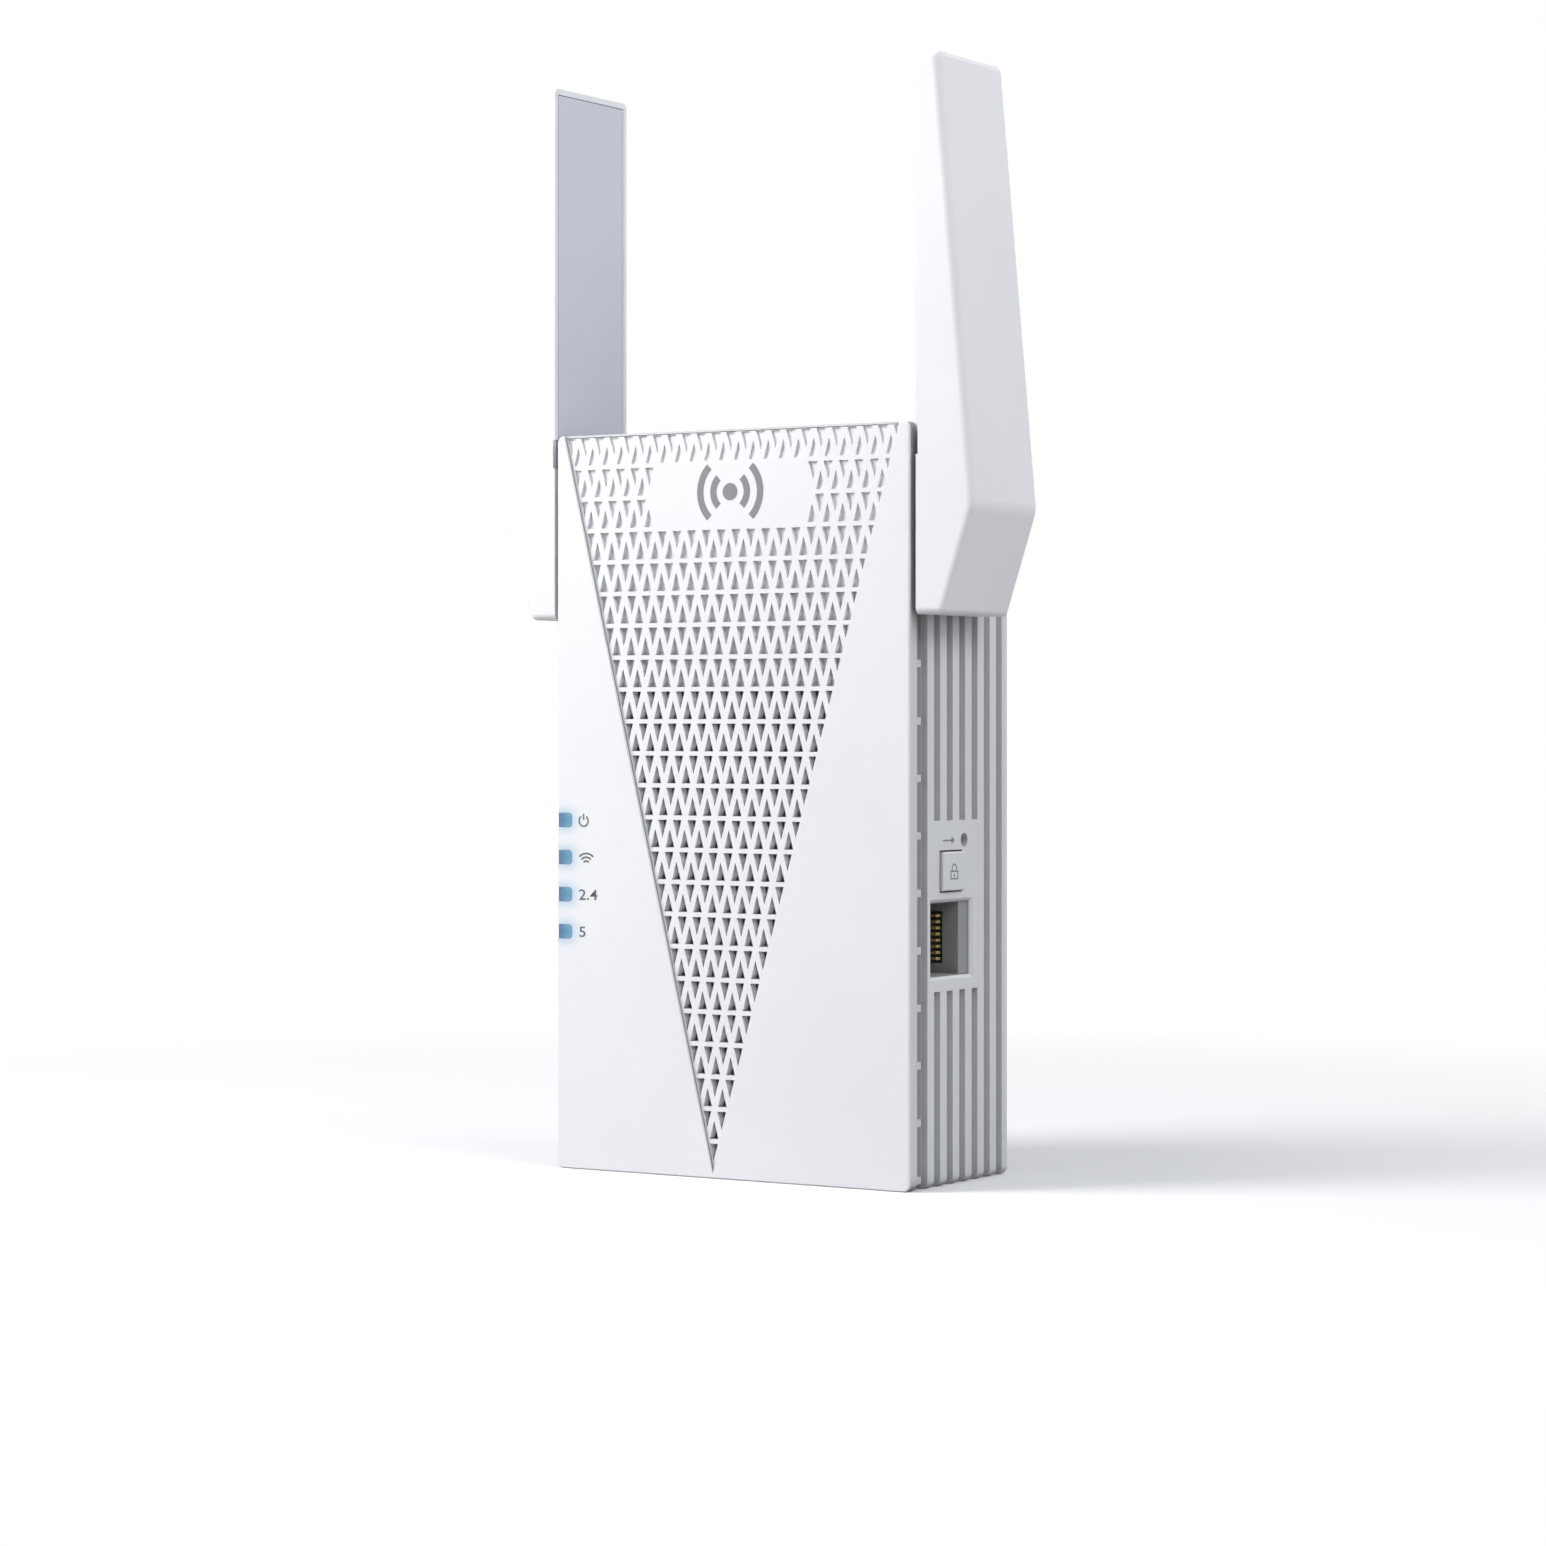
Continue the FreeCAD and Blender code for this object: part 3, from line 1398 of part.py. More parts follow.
def build_hinge():
    """The hollow barrel that carries the antenna through the housing wall, with its washer and clip."""
    y = deep(hinge_deep)
    z = high(hinge_up)
    inner_end = side_inner - 3.2
    groove = side_inner - 0.55 - clip_thick
    barrel = fuse(
        rod("X", inner_end, y, z, barrel_radius, lid_inner - inner_end),
        rod("X", lid_inner, y, z, flange_radius, flange_thick),
    )
    bore = rod("X", inner_end - 1, y, z, barrel_bore, lid_inner + flange_thick - inner_end + 2)
    flare = cone("X", lid_inner - 0.6, y, z, barrel_bore, barrel_bore + 2.2, flange_thick + 0.61)
    ring = cut(
        rod("X", groove, y, z, barrel_radius + 1, clip_thick),
        rod("X", groove, y, z, barrel_radius - 0.6, clip_thick),
    )
    right = publish("right_hinge_barrel", cut(barrel, bore, flare, ring))
    washer = cut(
        rod("X", half_wide, y, z, flange_radius, antenna_gap),
        rod("X", half_wide, y, z, barrel_radius + barrel_slack, antenna_gap),
    )
    right_washer = publish("right_friction_washer", washer)
    clip = cut(
        rod("X", groove, y, z, barrel_radius + clip_reach, clip_thick),
        rod("X", groove, y, z, barrel_radius - 0.6, clip_thick),
        block(groove, y - 2.0, z - 8.0, clip_thick, 4.0, 6.0),
    )
    right_clip = publish("right_hinge_clip", clip)
    spring = cut(
        rod("X", side_inner - 0.5, y, z, barrel_radius + clip_reach, 0.5),
        rod("X", side_inner - 0.5, y, z, barrel_radius + barrel_slack, 0.5),
    )
    right_spring = publish("right_spring_washer", spring)
    return right, right_washer, right_clip, right_spring


def build_element_board():
    """The thin aerial board on the lid, and the copper arms on its face."""
    left = lid_inner
    y = deep(hinge_deep) - 6.5
    board = block(left, y, high(122.0), element_thick, 13.0, 56.0)
    right = publish("right_antenna_board", board)
    face = left + element_thick
    arms = []
    for start, foot, wide, tall in (
        (1.0, 124.0, 3.0, 24.0),
        (9.0, 124.0, 3.0, 24.0),
        (1.0, 152.0, 11.0, 3.0),
        (5.5, 156.0, 2.0, 20.0),
        (5.5, 123.0, 2.0, 8.0),
    ):
        arms.append(block(face, y + start, high(foot), copper_thick, wide, tall))
    copper = publish("right_antenna_copper", group(*arms))
    return right, copper


def lead_path(points, bend):
    """Straight runs joined by arcs that are tangent to both."""
    edges = []
    start = points[0]
    for i in range(1, len(points) - 1):
        corner = points[i]
        back = (points[i - 1] - corner).normalize()
        ahead = (points[i + 1] - corner).normalize()
        half = back.getAngle(ahead) / 2
        reach = bend / math.tan(half)
        centre = corner + (back + ahead).normalize() * (bend / math.sin(half))
        enter = corner + back * reach
        leave = corner + ahead * reach
        belly = centre + (corner - centre).normalize() * bend
        edges.append(Part.LineSegment(start, enter).toShape())
        edges.append(Part.Arc(enter, belly, leave).toShape())
        start = leave
    edges.append(Part.LineSegment(start, points[-1]).toShape())
    return Part.Wire(edges)


def lead(label, points, bend):
    """A round lead swept along its path. The volume is checked against section times length."""
    path = lead_path(points, bend)
    along = (points[1] - points[0]).normalize()
    ring = Part.Wire([Part.Circle(points[0], along, float(lead_radius)).toShape()])
    solid = path.makePipeShell([ring], True, True)
    expected = math.pi * float(lead_radius) ** 2 * path.Length
    if abs(solid.Volume - expected) > 0.02 * expected:
        raise RuntimeError(f"{label}: volume {solid.Volume:.2f}, expected {expected:.2f}")
    print(f"{label}: length {path.Length:.1f} mm, bend radius {bend:.2f} mm")
    return shaped(label, solid)


def build_leads():
    """The thin aerial leads, each in two lengths a hair apart on the hinge axis so that one can turn."""
    y = float(deep(hinge_deep))
    z = float(high(hinge_up))
    bend = float(lead_bend)
    meet = float(side_inner)
    hair = 0.05
    feed = float(lid_inner + element_thick + copper_thick + lead_radius)
    right = lead(
        "right_antenna_lead",
        [Vector(feed, y, z + 20.0), Vector(feed, y, z), Vector(meet, y, z)],
        bend,
    )
    pad_y = float(deep(main_back)) + float(lead_radius)
    inner = lead(
        "right_board_lead",
        [
            Vector(meet - hair, y, z),
            Vector(24.5, y, z),
            Vector(19.8, y - 1.8, z - 8.5),
            Vector(19.8, pad_y, z - 19.0),
            Vector(19.8, pad_y, z - 25.5),
        ],
        bend,
    )
    return right, inner


# ======================= assembly =======================

def build_all():
    build_front_cover()
    build_grille()
    build_light_guide()
    build_housing()
    build_rear_cover()
    build_plug()
    build_screws()
    build_pairing_button()
    build_switches()
    build_ethernet_jack()
    build_main_board()
    build_power_board()
    build_insulator()
    rights = [build_antenna_shell(), build_antenna_lid()]
    rights += list(build_hinge())
    rights += list(build_element_board())
    rights += list(build_leads())
    for source in rights:
        mirrored(source.Label.replace("right_", "left_"), source)


def check_document():
    """Stop if anything in the document failed or came out empty."""
    for obj in doc.Objects:
        if "Invalid" in obj.State or "Error" in obj.State:
            raise RuntimeError(f"{obj.Name} ({obj.Label}) is in state {obj.State}")
    for obj in nodes:
        shape = obj.Shape
        if shape.isNull() or not shape.isValid() or not shape.Solids:
            raise RuntimeError(f"{obj.Label} has no valid solid")
        print(f"{obj.Label}: {len(shape.Solids)} solid, {shape.Volume:.1f} mm3")


build_all()
doc.recompute()
check_document()
os.makedirs("parts", exist_ok=True)
for obj in nodes:
    obj.Shape.exportStep(os.path.join("parts", obj.Label + ".step"))
print(len(nodes), "sub-parts written")
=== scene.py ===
import json
import math

import bmesh
import bpy
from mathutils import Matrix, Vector


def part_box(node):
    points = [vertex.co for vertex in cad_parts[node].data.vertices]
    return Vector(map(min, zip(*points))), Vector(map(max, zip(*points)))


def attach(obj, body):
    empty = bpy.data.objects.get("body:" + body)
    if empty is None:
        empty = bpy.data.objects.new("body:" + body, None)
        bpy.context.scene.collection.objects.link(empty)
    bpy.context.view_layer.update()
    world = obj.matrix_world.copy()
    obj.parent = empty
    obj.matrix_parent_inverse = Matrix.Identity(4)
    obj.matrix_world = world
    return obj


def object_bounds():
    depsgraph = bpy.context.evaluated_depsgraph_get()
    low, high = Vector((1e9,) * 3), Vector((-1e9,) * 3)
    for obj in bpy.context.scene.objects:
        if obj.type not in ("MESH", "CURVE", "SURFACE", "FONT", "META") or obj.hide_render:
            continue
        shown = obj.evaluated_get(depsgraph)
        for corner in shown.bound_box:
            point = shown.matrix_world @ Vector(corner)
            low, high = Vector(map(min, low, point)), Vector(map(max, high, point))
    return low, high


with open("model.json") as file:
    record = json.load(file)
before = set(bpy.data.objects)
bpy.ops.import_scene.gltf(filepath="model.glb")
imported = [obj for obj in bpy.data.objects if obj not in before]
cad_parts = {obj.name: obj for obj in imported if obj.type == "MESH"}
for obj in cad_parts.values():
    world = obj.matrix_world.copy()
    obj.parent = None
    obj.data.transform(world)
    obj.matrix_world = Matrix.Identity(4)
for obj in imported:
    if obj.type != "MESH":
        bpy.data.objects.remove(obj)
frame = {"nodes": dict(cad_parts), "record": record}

CAD_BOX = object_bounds()
MM = 0.001

# ---------------------------------------------------------------- places, from the CAD frame

COVER_LOW, COVER_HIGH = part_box("front_cover")
FRONT_Y = COVER_LOW.y
LEFT_X = COVER_LOW.x
RIGHT_X = COVER_HIGH.x
BASE_Z = COVER_LOW.z
WINDOW_ACROSS = 1.45
WINDOW_FIRST = 40.35
WINDOW_PITCH = 6.33
WINDOW_COUNT = 4


def on_front(across, up):
    """A point of the front face, in millimetres from its lower left corner."""
    return Vector((LEFT_X + across * MM, FRONT_Y, BASE_Z + up * MM))


def on_side(depth, up):
    """A point of the right-hand wall, in millimetres back from the front face and up from the base."""
    return Vector((RIGHT_X, FRONT_Y + depth * MM, BASE_Z + up * MM))


def window_height(row):
    """The height of a window's centre above the base, in millimetres, rows counted from the lowest."""
    return WINDOW_FIRST + WINDOW_PITCH * row


# ---------------------------------------------------------------- material tools

class Nodes:
    """Short calls for building one material's node tree."""

    def __init__(self, name):
        self.material = bpy.data.materials.new(name)
        self.material.use_nodes = True
        self.tree = self.material.node_tree
        self.tree.nodes.clear()
        self.out = self.add("ShaderNodeOutputMaterial")
        self.shader = self.add("ShaderNodeBsdfPrincipled")
        self.link(self.shader.outputs["BSDF"], self.out.inputs["Surface"])
        self.place = self.add("ShaderNodeTexCoord").outputs["Object"]

    def add(self, kind, **values):
        """A new node, with its settings."""
        node = self.tree.nodes.new(kind)
        for key, value in values.items():
            setattr(node, key, value)
        return node

    def link(self, a, b):
        self.tree.links.new(a, b)

    def fill(self, socket, value):
        """Sets a socket to a number or colour, or links it to another socket."""
        if isinstance(value, bpy.types.NodeSocket):
            self.link(value, socket)
        else:
            socket.default_value = value

    def noise(self, grain, detail=2.0, rough=0.5, stretch=(1, 1, 1)):
        """Noise from 0 to 1 whose features are about grain metres wide."""
        mapping = self.add("ShaderNodeMapping")
        mapping.inputs["Scale"].default_value = stretch
        self.link(self.place, mapping.inputs["Vector"])
        node = self.add("ShaderNodeTexNoise")
        node.inputs["Scale"].default_value = 1.0 / grain
        node.inputs["Detail"].default_value = detail
        node.inputs["Roughness"].default_value = rough
        self.link(mapping.outputs["Vector"], node.inputs["Vector"])
        return node.outputs["Fac"]

    def spread(self, socket, low, high, start=0.3, end=0.7):
        """Maps start..end of a socket onto low..high."""
        node = self.add("ShaderNodeMapRange")
        node.inputs["From Min"].default_value = start
        node.inputs["From Max"].default_value = end
        node.inputs["To Min"].default_value = low
        node.inputs["To Max"].default_value = high
        self.link(socket, node.inputs["Value"])
        return node.outputs["Result"]

    def math(self, operation, a, b=0.0):
        """One step of arithmetic on numbers or sockets."""
        node = self.add("ShaderNodeMath", operation=operation)
        self.fill(node.inputs[0], a)
        self.fill(node.inputs[1], b)
        return node.outputs[0]

    def mix(self, factor, a, b):
        """The colour between a and b at a factor from 0 to 1."""
        node = self.add("ShaderNodeMix", data_type="RGBA")
        self.fill(node.inputs[0], factor)
        self.fill(node.inputs[6], a)
        self.fill(node.inputs[7], b)
        return node.outputs[2]

    def axis(self, name):
        """One coordinate of the shaded point, in the CAD frame."""
        node = self.add("ShaderNodeSeparateXYZ")
        self.link(self.place, node.inputs[0])
        return node.outputs[name]

    def bump(self, height, depth, edge=0.0):
        """Feeds a height into the shader's normal, on top of edges rounded by edge metres."""
        node = self.add("ShaderNodeBump")
        node.inputs["Strength"].default_value = 1.0
        node.inputs["Distance"].default_value = depth
        self.link(height, node.inputs["Height"])
        if edge:
            round_edge = self.add("ShaderNodeBevel", samples=4)
            round_edge.inputs["Radius"].default_value = edge
            self.link(round_edge.outputs["Normal"], node.inputs["Normal"])
        self.link(node.outputs["Normal"], self.shader.inputs["Normal"])

    def crevice(self, distance):
        """1 on open surfaces, towards 0 in narrow corners and slots."""
        node = self.add("ShaderNodeAmbientOcclusion", samples=6)
        node.inputs["Distance"].default_value = distance
        return node.outputs["AO"]

    def set(self, **values):
        """Sets the shader's inputs by short names, each to a value or a socket."""
        names = {
            "colour": "Base Color",
            "rough": "Roughness",
            "metal": "Metallic",
            "coat": "Coat Weight",
            "glow": "Emission Color",
            "glow_power": "Emission Strength",
            "specular": "Specular IOR Level",
        }
        for key, value in values.items():
            self.fill(self.shader.inputs[names[key]], value)


def rgba(colour, gain=1.0):
    """An opaque colour, lighter or darker by gain."""
    return tuple(min(1.0, c * gain) for c in colour) + (1.0,)


def plastic(
    name, colour, rough=0.42, grain=0.22, relief=0.006, edge=0.12, shade=0.0, reach=1.2, span=(0.15, 0.85)
):
    """Moulded plastic: a fine spark-eroded grain, faint flow marks and softened edges, all lengths in mm.

    Where less of the sky than span is open within reach, the colour darkens by up to shade: painted shade
    in corners and slots.
    """
    n = Nodes(name)
    broad = n.noise(22 * MM, detail=1.5)
    fine = n.noise(grain * MM, detail=3.0, rough=0.6)
    tint = n.mix(n.spread(broad, 0.0, 1.0), rgba(colour, 0.985), rgba(colour, 1.012))
    tint = n.mix(n.spread(fine, 0.0, 0.05), tint, rgba(colour, 0.90))
    # Painted shade: the colour darkens where nearby surfaces hide the sky.
    if shade:
        open_part = n.spread(n.crevice(reach * MM), 0.0, 1.0, *span)
        tint = n.mix(open_part, rgba(colour, 1.0 - shade), tint)
    n.set(colour=tint, rough=n.spread(fine, rough - 0.05, rough + 0.06), specular=0.42)
    n.bump(fine, relief * MM, edge=edge * MM)
    return n


def base_tint(n):
    """The socket that feeds a material's base colour, so that more can be laid over it."""
    return n.shader.inputs["Base Color"].links[0].from_socket


def metal(name, colour, rough=0.3, brushed=(1, 1, 1), grain=0.12):
    """Metal with fine directional scratches and slightly uneven tarnish."""
    n = Nodes(name)
    lines = n.noise(grain * MM, detail=4.0, rough=0.7, stretch=brushed)
    cloud = n.noise(3 * MM)
    tint = n.mix(n.spread(cloud, 0.0, 1.0), rgba(colour, 0.88), rgba(colour, 1.05))
    n.set(colour=tint, metal=1.0, rough=n.spread(lines, rough - 0.08, rough + 0.14))
    n.bump(lines, 0.004 * MM, edge=0.08 * MM)
    return n


def board(name, colour):
    """Solder resist over copper tracks, in two close tones with darker lines between them."""
    n = Nodes(name)
    tracks = n.add("ShaderNodeTexBrick", offset=0.35)
    tracks.inputs["Scale"].default_value = 260.0
    tracks.inputs["Mortar Size"].default_value = 0.012
    tracks.inputs["Brick Width"].default_value = 0.9
    tracks.inputs["Row Height"].default_value = 0.32
    tracks.inputs["Color1"].default_value = rgba(colour)
    tracks.inputs["Color2"].default_value = rgba(colour, 0.93)
    tracks.inputs["Mortar"].default_value = rgba(colour, 0.80)
    turn = n.add("ShaderNodeMapping")
    turn.inputs["Rotation"].default_value = (math.radians(90), 0, 0)
    n.link(n.place, turn.inputs["Vector"])
    n.link(turn.outputs["Vector"], tracks.inputs["Vector"])
    n.set(colour=tracks.outputs["Color"], rough=0.38, coat=0.2)
    n.bump(tracks.outputs["Fac"], 0.02 * MM, edge=0.05 * MM)
    return n


def glow_patch(n, centres, reach_x, reach_z):
    """0 to 1, brightest at each centre on the front face and fading over the reach given in metres."""
    x = n.axis("X")
    z = n.axis("Z")
    y = n.axis("Y")
    squareness = 2.6
    face_depth = 0.9 * MM
    total = None
    for spot in centres:
        dx = n.math("DIVIDE", n.math("SUBTRACT", x, spot.x), reach_x)
        dz = n.math("DIVIDE", n.math("SUBTRACT", z, spot.z), reach_z)
        across = n.math("POWER", n.math("ABSOLUTE", dx), squareness)
        upward = n.math("POWER", n.math("ABSOLUTE", dz), squareness)
        falloff = n.math("EXPONENT", n.math("MULTIPLY", n.math("ADD", across, upward), -1.0))
        total = falloff if total is None else n.math("ADD", total, falloff)
    near_face = n.math("LESS_THAN", y, FRONT_Y + face_depth)
    return n.math("MINIMUM", n.math("MULTIPLY", total, near_face), 1.0)


# ---------------------------------------------------------------- materials

WHITE = (0.90, 0.90, 0.92)
GREY = (0.78, 0.785, 0.795)
SKIRT = (0.72, 0.725, 0.74)
LID = (0.68, 0.70, 0.765)
WINDOWS = [on_front(WINDOW_ACROSS, window_height(k)) for k in range(WINDOW_COUNT)]


def cover_material():
    """A white face over a skirt as grey as the housing, with painted shade in the skirt's corners and a
    painted blue glow, faintly emitting, round each indicator window.
    """
    n = plastic("cover_white", WHITE, rough=0.46, relief=0.004, edge=0.06)
    tint = base_tint(n)
    painted_glow_blue = (0.42, 0.60, 0.77, 1)
    painted_emission_blue = (0.25, 0.55, 0.9, 1)
    skirt_start = FRONT_Y + 0.45 * MM
    # Painted light: a blue glow round each window tints the white face and makes it faintly emit.
    painted_glow = glow_patch(n, WINDOWS, 2.5 * MM, 2.0 * MM)
    lit = n.mix(n.math("MULTIPLY", painted_glow, 0.85), tint, painted_glow_blue)
    behind_face = n.math("GREATER_THAN", n.axis("Y"), skirt_start)
    # Painted shade: the skirt and the collar behind it darken where nearby surfaces hide the sky.
    open_part = n.spread(n.crevice(3.0 * MM), 0.0, 1.0, 0.5, 0.95)
    skirt = n.mix(open_part, rgba(SKIRT, 0.5), rgba(SKIRT))
    lit = n.mix(behind_face, lit, skirt)
    n.set(colour=lit, glow=painted_emission_blue, glow_power=n.math("MULTIPLY", painted_glow, 0.03))
    return n


def grille_material():
    """White bars with painted shade in their hollows, stronger downward from the blind rows at the top to
    the open ones.
    """
    n = plastic("grille_white", WHITE, 0.5, relief=0.004, edge=0.05)
    tint = base_tint(n)
    # Painted shade in the hollows: light at the blind rows, dark at the open rows.
    open_part = n.spread(n.crevice(1.0 * MM), 0.0, 1.0, 0.15, 0.85)
    blind_z = BASE_Z + 112.0 * MM
    open_z = BASE_Z + 78.0 * MM
    lowness = n.spread(n.axis("Z"), 1.0, 0.0, open_z, blind_z)
    painted_hollow_shade = n.mix(lowness, rgba(WHITE, 0.88), rgba(WHITE, 0.48))
    n.set(colour=n.mix(open_part, painted_hollow_shade, tint))
    return n


def housing_material():
    """Grey plastic with painted shade in its grooves and darker painted shade in the gap that parts it
    from the cover.
    """
    # Painted shade: the grooves darken where nearby surfaces hide the sky.
    n = plastic("housing_grey", GREY, 0.45, edge=0.06, shade=0.25, reach=3.0, span=(0.4, 0.9))
    tint = base_tint(n)
    # Painted shade: the gap between the housing and the cover is darkened by position.
    inset = 0.6 * MM
    gap_end = FRONT_Y + 5.9 * MM
    inner = n.math("LESS_THAN", n.math("ABSOLUTE", n.axis("X")), RIGHT_X - inset)
    above = n.math("GREATER_THAN", n.axis("Z"), BASE_Z + inset)
    below = n.math("LESS_THAN", n.axis("Z"), COVER_HIGH.z - inset)
    ahead = n.math("LESS_THAN", n.axis("Y"), gap_end)
    painted_gap_shade = n.math("MULTIPLY", n.math("MULTIPLY", inner, ahead), n.math("MULTIPLY", above, below))
    n.set(colour=n.mix(painted_gap_shade, tint, rgba(GREY, 0.42)))
    return n


def guide_material():
    """Clear acrylic lit from inside: dark blue at the outer end, teal in the middle, paler at the rims."""
    rim_blue = (0.24, 0.37, 0.49, 1)
    core_teal = (0.11, 0.30, 0.43, 1)
    end_blue = (0.085, 0.16, 0.28, 1)
    flow_blue = (0.14, 0.27, 0.42, 1)
    shift = Vector((0.25 * MM, 0, 0))
    n = Nodes("clear_guide")
    core = glow_patch(n, [window + shift for window in WINDOWS], 1.35 * MM, 1.05 * MM)
    flow = n.noise(0.9 * MM)
    tint = n.mix(core, rim_blue, core_teal)
    outer_end = n.spread(n.axis("X"), 1.0, 0.0, LEFT_X + 0.4 * MM, LEFT_X + 2.1 * MM)
    tint = n.mix(outer_end, tint, end_blue)
    tint = n.mix(n.spread(flow, 0.0, 0.35), tint, flow_blue)
    n.set(colour=tint, rough=0.22, coat=0.4, glow=tint, glow_power=0.22, specular=0.5)
    n.bump(flow, 0.01 * MM, edge=0.2 * MM)
    return n


def led_material():
    """A small pale lamp with a blue glow."""
    n = Nodes("led_package")
    cloud = n.noise(0.6 * MM)
    tint = n.mix(n.spread(cloud, 0.0, 1.0), (0.65, 0.82, 0.95, 1), (0.85, 0.93, 1.0, 1))
    n.set(colour=tint, rough=0.3, glow=(0.2, 0.5, 1.0, 1), glow_power=1.5)
    n.bump(cloud, 0.01 * MM)
    return n


def winding_material():
    """Yellow tape over the turns of a winding."""
    n = Nodes("winding_tape")
    wave = n.add("ShaderNodeTexWave", bands_direction="Z")
    wave.inputs["Scale"].default_value = 900.0
    wave.inputs["Distortion"].default_value = 0.6
    n.link(n.place, wave.inputs["Vector"])
    tint = n.mix(wave.outputs["Fac"], (0.62, 0.44, 0.07, 1), (0.80, 0.61, 0.14, 1))
    n.set(colour=tint, rough=0.35)
    n.bump(wave.outputs["Fac"], 0.03 * MM)
    return n


def sleeve_material():
    """A dark shrink sleeve with pale stripes along it."""
    n = Nodes("capacitor_sleeve")
    cloud = n.noise(2.0 * MM)
    stripes_per_metre = 105.0
    dark_share = 0.78
    place = n.math("FRACT", n.math("MULTIPLY", n.axis("X"), stripes_per_metre))
    stripe = n.math("GREATER_THAN", place, dark_share)
    tint = n.mix(stripe, (0.03, 0.035, 0.07, 1), (0.62, 0.64, 0.66, 1))
    tint = n.mix(n.spread(cloud, 0.0, 0.15), tint, (0.10, 0.10, 0.14, 1))
    n.set(colour=tint, rough=0.28, coat=0.3)
    n.bump(cloud, 0.01 * MM, edge=0.1 * MM)
    return n


# Each shade entry paints shade into that plastic's corners and slots, within its reach.
PLASTICS = {
    "rear_grey": dict(colour=(0.64, 0.645, 0.66), rough=0.55, grain=0.45, relief=0.02, shade=0.4),
    "plug_grey": dict(colour=(0.60, 0.605, 0.62), rough=0.42, relief=0.004, shade=0.35),
    "button_grey": dict(colour=GREY, rough=0.42, edge=0.06, shade=0.6, reach=1.0),
    "switch_black": dict(colour=(0.035, 0.035, 0.04), rough=0.5),
    "plunger_dark": dict(colour=(0.12, 0.12, 0.125), rough=0.4),
    "jack_black": dict(colour=(0.34, 0.34, 0.345), rough=0.5, shade=0.5, reach=2.5),
    "chip_black": dict(colour=(0.03, 0.03, 0.033), rough=0.6, grain=0.1, relief=0.01),
    "thermal_rubber": dict(colour=(0.35, 0.42, 0.52), rough=0.8, grain=0.5, relief=0.03),
    "ferrite_grey": dict(colour=(0.09, 0.09, 0.095), rough=0.65, grain=0.4, relief=0.03),
    "fuse_ceramic": dict(colour=(0.52, 0.44, 0.30), rough=0.5, grain=0.4, relief=0.02),
    "ceramic_blue": dict(colour=(0.05, 0.18, 0.45), rough=0.25, grain=0.8, relief=0.02),
    "insulator_film": dict(colour=(0.72, 0.72, 0.69), rough=0.35),
    "antenna_white": dict(colour=WHITE, rough=0.46, relief=0.004, edge=0.12),
    "antenna_lid_white": dict(colour=LID, rough=0.44, relief=0.004, shade=0.7, reach=1.5),
    "barrel_nylon": dict(colour=(0.78, 0.78, 0.76), rough=0.4),
    "lead_black": dict(colour=(0.03, 0.03, 0.03), rough=0.55, grain=0.4, relief=0.01),
}

METALS = {
    "blade_nickel": dict(colour=(0.80, 0.77, 0.70), rough=0.24, brushed=(1, 0.06, 1)),
    "screw_steel": dict(colour=(0.62, 0.62, 0.64), rough=0.32),
    "tinned_steel": dict(colour=(0.72, 0.72, 0.71), rough=0.34),
    "contact_gold": dict(colour=(0.78, 0.60, 0.26), rough=0.26, brushed=(0.1, 1, 1)),
    "sink_aluminium": dict(colour=(0.74, 0.74, 0.75), rough=0.36, brushed=(1, 1, 0.05)),
    "aerial_copper": dict(colour=(0.85, 0.48, 0.32), rough=0.3),
}

BOARDS = {
    "board_dark": (0.19, 0.195, 0.20),
    "aerial_board": (0.05, 0.20, 0.12),
}

SPECIALS = {
    "cover_white": cover_material,
    "grille_white": grille_material,
    "housing_grey": housing_material,
    "clear_guide": guide_material,
    "led_package": led_material,
    "winding_tape": winding_material,
    "capacitor_sleeve": sleeve_material,
}


def make_material(slot):
    """The material of a slot, from the table that lists it."""
    if slot in PLASTICS:
        return plastic(slot, **PLASTICS[slot]).material
    if slot in METALS:
        return metal(slot, **METALS[slot]).material
    if slot in BOARDS:
        return board(slot, BOARDS[slot]).material
    return SPECIALS[slot]().material


def dress_nodes():
    """Gives each CAD node the material of its slot."""
    slots = {row["node"]: row["material_slot"] for row in frame["record"]["subparts"]}
    made = {}
    for name, node in frame["nodes"].items():
        slot = slots[name]
        if slot not in made:
            made[slot] = make_material(slot)
        node.data.materials.clear()
        node.data.materials.append(made[slot])


dress_nodes()


# ---------------------------------------------------------------- printed marks

PRINT = 0.035 * MM


def ink(name, colour):
    """Pad-printed ink, very slightly uneven."""
    n = Nodes(name)
    cloud = n.noise(0.35 * MM, detail=3.0)
    tint = n.mix(n.spread(cloud, 0.0, 1.0), rgba(colour, 0.92), rgba(colour, 1.08))
    n.set(colour=tint, rough=0.55)
    n.bump(cloud, 0.003 * MM)
    return n.material


INK = ink("ink_grey", (0.155, 0.158, 0.165))
MARK_INK = ink("ink_mark", (0.27, 0.27, 0.28))
SIDE_INK = ink("ink_side", (0.26, 0.26, 0.27))


def band(points, half):
    """The left and right edges of a stroke of the given half width along open points."""
    left = []
    right = []
    for i, p in enumerate(points):
        a = Vector(points[max(i - 1, 0)])
        b = Vector(points[min(i + 1, len(points) - 1)])
        run = (b - a).normalized()
        side = Vector((-run.y, run.x)) * half
        left.append(Vector(p) + side)
        right.append(Vector(p) - side)
    return left, right


